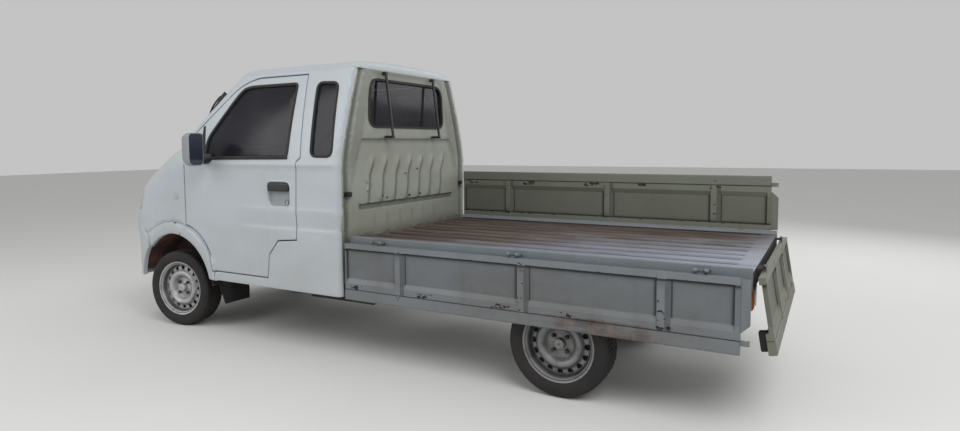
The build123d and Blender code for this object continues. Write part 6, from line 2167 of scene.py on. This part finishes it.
def cushion():
    """A seat's cushion before its cover is stretched: a soft box with a crown and sewn channels."""
    points, faces = voxels(soft_box(CUSHION_LOW + 0.004, CUSHION_HIGH - [0.004, 0.004, 0.010], 0.030), VOXEL)
    middle, half = (CUSHION_LOW + CUSHION_HIGH) / 2, (CUSHION_HIGH - CUSHION_LOW) / 2
    u, v = ((points - middle) / half)[:, :2].T
    share = np.clip((points[:, 2] - CUSHION_LOW[2]) / (half[2] * 2), 0, 1)
    points[:, 2] += share * pad_top(u, v, 0.012, 0.010, (-0.34, 0.12))
    return swollen((points, faces))


BACK_FOOT, BACK_TOP = CUSHION_HIGH[2] + 0.012, 1.236


def lean(points, low_z, high_z, rear, front):
    """Points with x from 0 to 1 laid between a leaning rear and front line, given at their foot and top."""
    share = (points[:, 2] - low_z) / (high_z - low_z)
    back = rear[0] + (rear[1] - rear[0]) * share
    face = front[0] + (front[1] - front[0]) * share
    return np.column_stack([back + (face - back) * points[:, 0], points[:, 1:]])


def seat_back():
    """The back is rebuilt upright at its mean thickness, then leant."""
    thick = 0.094
    points, faces = voxels(soft_box((0.004, 0.110, BACK_FOOT), (thick - 0.010, 0.550, BACK_TOP), 0.030), VOXEL)
    u = (points[:, 2] - (BACK_FOOT + BACK_TOP) / 2) / (BACK_TOP - BACK_FOOT) * 2
    v = (points[:, 1] - SEAT_Y) / 0.220
    share = np.clip(points[:, 0] / thick, 0, 1)
    points[:, 0] += share * pad_top(u, v, 0.008, 0.012, (-0.35, 0.05, 0.45))
    narrow = 1 - 0.10 * np.clip((u - 0.3) / 0.7, 0, 1) ** 2
    points[:, 1] = SEAT_Y + (points[:, 1] - SEAT_Y) * narrow
    points[:, 0] /= thick
    return swollen((lean(points, BACK_FOOT, BACK_TOP, (0.242, 0.187), (0.346, 0.262)), faces))


def headrest():
    """A headrest, fuller toward the middle of its face."""
    points, faces = voxels(soft_box((0.0, 0.214, 1.266), (0.058, 0.446, 1.414), 0.024), 0.005)
    v = (points[:, 1] - SEAT_Y) / 0.116
    u = (points[:, 2] - 1.340) / 0.074
    share = np.clip(points[:, 0] / 0.058, 0, 1)
    points[:, 0] += share * 0.005 * (1 - np.clip(np.abs(v), 0, 1) ** 3) * (1 - np.clip(np.abs(u), 0, 1) ** 3)
    points[:, 0] /= 0.062
    return swollen((lean(points, 1.266, 1.414, (0.191, 0.189), (0.258, 0.238)), faces), 4.0, 0.005)


fabric = Finish("seat_cloth", Roughness=0.92, Sheen_Weight=0.25)
weave = fabric.value("ShaderNodeTexWave", {"wave_type": "BANDS", "bands_direction": "DIAGONAL"},
                     {"Vector": fabric.place, "Scale": 260.0, "Distortion": 1.0, "Detail": 2.0}, 1)
soil = fabric.noise(8.0, 5.0, 0.6)
cloth_colour = fabric.mix(tone(66, 70, 80), tone(46, 48, 56), weave)
fabric.colour(fabric.mix(cloth_colour, tone(86, 80, 70), soil.step(0.5, 0.75) * 0.5))
fabric.bump(weave, 0.0006, 0.6)
fabric = fabric.material
piping_path = rounded([CUSHION_LOW[:2] + 0.020, (CUSHION_HIGH[0] - 0.020, CUSHION_LOW[1] + 0.020),
                       CUSHION_HIGH[:2] - 0.020, (CUSHION_LOW[0] + 0.020, CUSHION_HIGH[1] - 0.020)], 0.03)
piping_path = spaced(piping_path, 0.012)
piping = swept(circle(0.0035, 10),
               np.column_stack([piping_path, np.full(len(piping_path), CUSHION_HIGH[2] - 0.006)]), (0, 0, 1), True)
posts = joined([tube([(0.218, SEAT_Y + y, 1.215), (0.219, SEAT_Y + y, 1.290)], 0.006) for y in (-0.054, 0.054)])
for name, made, fill in (("seat_cushion", cushion(), 0.7),
                         ("seat_back", seat_back(), 0.7), ("headrest", headrest(), 0.6)):
    for side, mesh in (("left", made), ("right", mirrored((made[0], made[1].tolist())))):
        replaced = ("seats",) if name == "seat_cushion" and side == "left" else ()
        pad = piece(name + "_" + side, mesh[0], mesh[1], fabric,
                    "chassis", replaced, "seat_fabric" if replaced else None, 60)
piece("seat_piping", *both(piping), trim, "chassis")
piece("headrest_posts", *both(posts), bright, "chassis")

# Dashboard with its instrument hood and column, and the steering wheel.
dash_plastic = plain("dash_grain", tone(58, 60, 64), tone(76, 77, 80), 0.6, 60)
DASH_FRONT, DASH_HALF = 1.395, 0.658
dash_outline = rounded([(DASH_FRONT, 0.862), (DASH_FRONT + 0.040, 1.150), (DASH_FRONT + 0.042, 1.226),
                        (DASH_FRONT - 0.165, 1.203), (DASH_FRONT - 0.383, 1.138),
                        (DASH_FRONT - 0.408, 1.040), (DASH_FRONT - 0.333, 0.942), (DASH_FRONT - 0.195, 0.862)],
                       [0.01, 0.02, 0.005, 0.12, 0.05, 0.06, 0.06, 0.02])
across_cab = np.column_stack([np.zeros(40), np.linspace(-DASH_HALF, DASH_HALF, 40), np.zeros(40)])
hood_outline = soften(
    [(1.010, 1.110), (0.996, 1.190), (1.020, 1.236), (1.120, 1.222), (1.240, 1.186), (1.240, 1.110)])
hood_path = np.column_stack([np.zeros(20), np.linspace(0.190, 0.470, 20), np.zeros(20)])
glove_lid = soft_box((0.996, -0.520, 0.965), (1.060, -0.180, 1.085), 0.012)
WHEEL_CENTRE = np.array([0.850, SEAT_Y, 1.080])
COLUMN_LEAN = math.radians(32)
HAND_RADIUS = 0.1760
column_way = np.array([-math.cos(COLUMN_LEAN), 0, math.sin(COLUMN_LEAN)])
column = tube([WHEEL_CENTRE - column_way * 0.052, WHEEL_CENTRE - column_way * 0.285], 0.030, 32)
stalks = [tube([WHEEL_CENTRE - column_way * 0.075 + [0, side * 0.028, 0],
                WHEEL_CENTRE - column_way * 0.070 + [0, side * 0.140, 0.012]], 0.0055)
          for side in (-1, 1)]
dash, hood = swept(dash_outline, across_cab, (0, 0, 1)), swept(hood_outline, hood_path, (0, 0, 1))
dash_parts = [dash, hood, glove_lid, column] + stalks
piece("dashboard_shell", *joined(dash_parts), dash_plastic, "chassis", ("dashboard",), "dash_plastic")
side_way = np.array([0.0, 1.0, 0.0])
wheel_place = laid_along(side_way, np.cross(column_way, side_way), column_way, WHEEL_CENTRE)
hand_rim = circle(0.0135, 18) * [1.0, 1.12] + [HAND_RADIUS, 0]
hub_section = [(0.0004, 0.004), (0.030, 0.006), (0.047, 0.001),
               (0.055, -0.010), (0.053, -0.026), (0.030, -0.034), (0.0004, -0.034)]
spokes = []
for angle in np.radians([120, 240, 30]):
    reach = np.array([math.cos(angle), math.sin(angle)])
    run = np.linspace(0.040, 0.172, 12)
    line = np.column_stack([run[:, None] * reach, -0.010 + 0.008 * smooth_step(run, 0.06, 0.16)])
    section = soften([(-0.018, -0.005), (0.018, -0.005), (0.013, 0.005), (-0.013, 0.005)])
    spokes.append(swept(section, line, (0, 0, 1)))
shaft = tube([(0, 0, -0.030), (0, 0, -0.050)], 0.010)
piece("steering_wheel_rim",
      *placed(joined([lathe(hand_rim), lathe(hub_section, 48), shaft] + spokes), wheel_place),
      plain("wheel_rim_plastic", tone(30, 30, 32), tone(44, 44, 46), 0.5, 60),
      "steering_wheel", ("steering_wheel",), "dash_plastic")

# Ground, light and finish.
floor_finish = Finish("ground", Roughness=0.9)
floor_finish.colour(floor_finish.mix(tone(214, 214, 212), tone(208, 208, 206), floor_finish.noise(0.8)))
bpy.ops.mesh.primitive_plane_add(size=60)
ground = bpy.context.object
ground.name = "ground"
ground.data.materials.append(floor_finish.material)
add_camera()
world = bpy.data.worlds.new("studio")
bpy.context.scene.world = world
world.use_nodes = True
sky = world.node_tree.nodes["Background"]
sky.inputs["Color"].default_value = (1, 1, 1, 1)
sky.inputs["Strength"].default_value = SKY_STRENGTH
add_lamp("key", (-4.5, 3.5, 5.5), (-0.3, 0, 0.8), 270)
add_lamp("fill", (3.5, 5.5, 3.5), (0, 0, 0.8), 135)
add_lamp("back", (-3, -5, 4.0), (0, 0, 0.8), 110)
bpy.context.scene.view_settings.view_transform = "Standard"
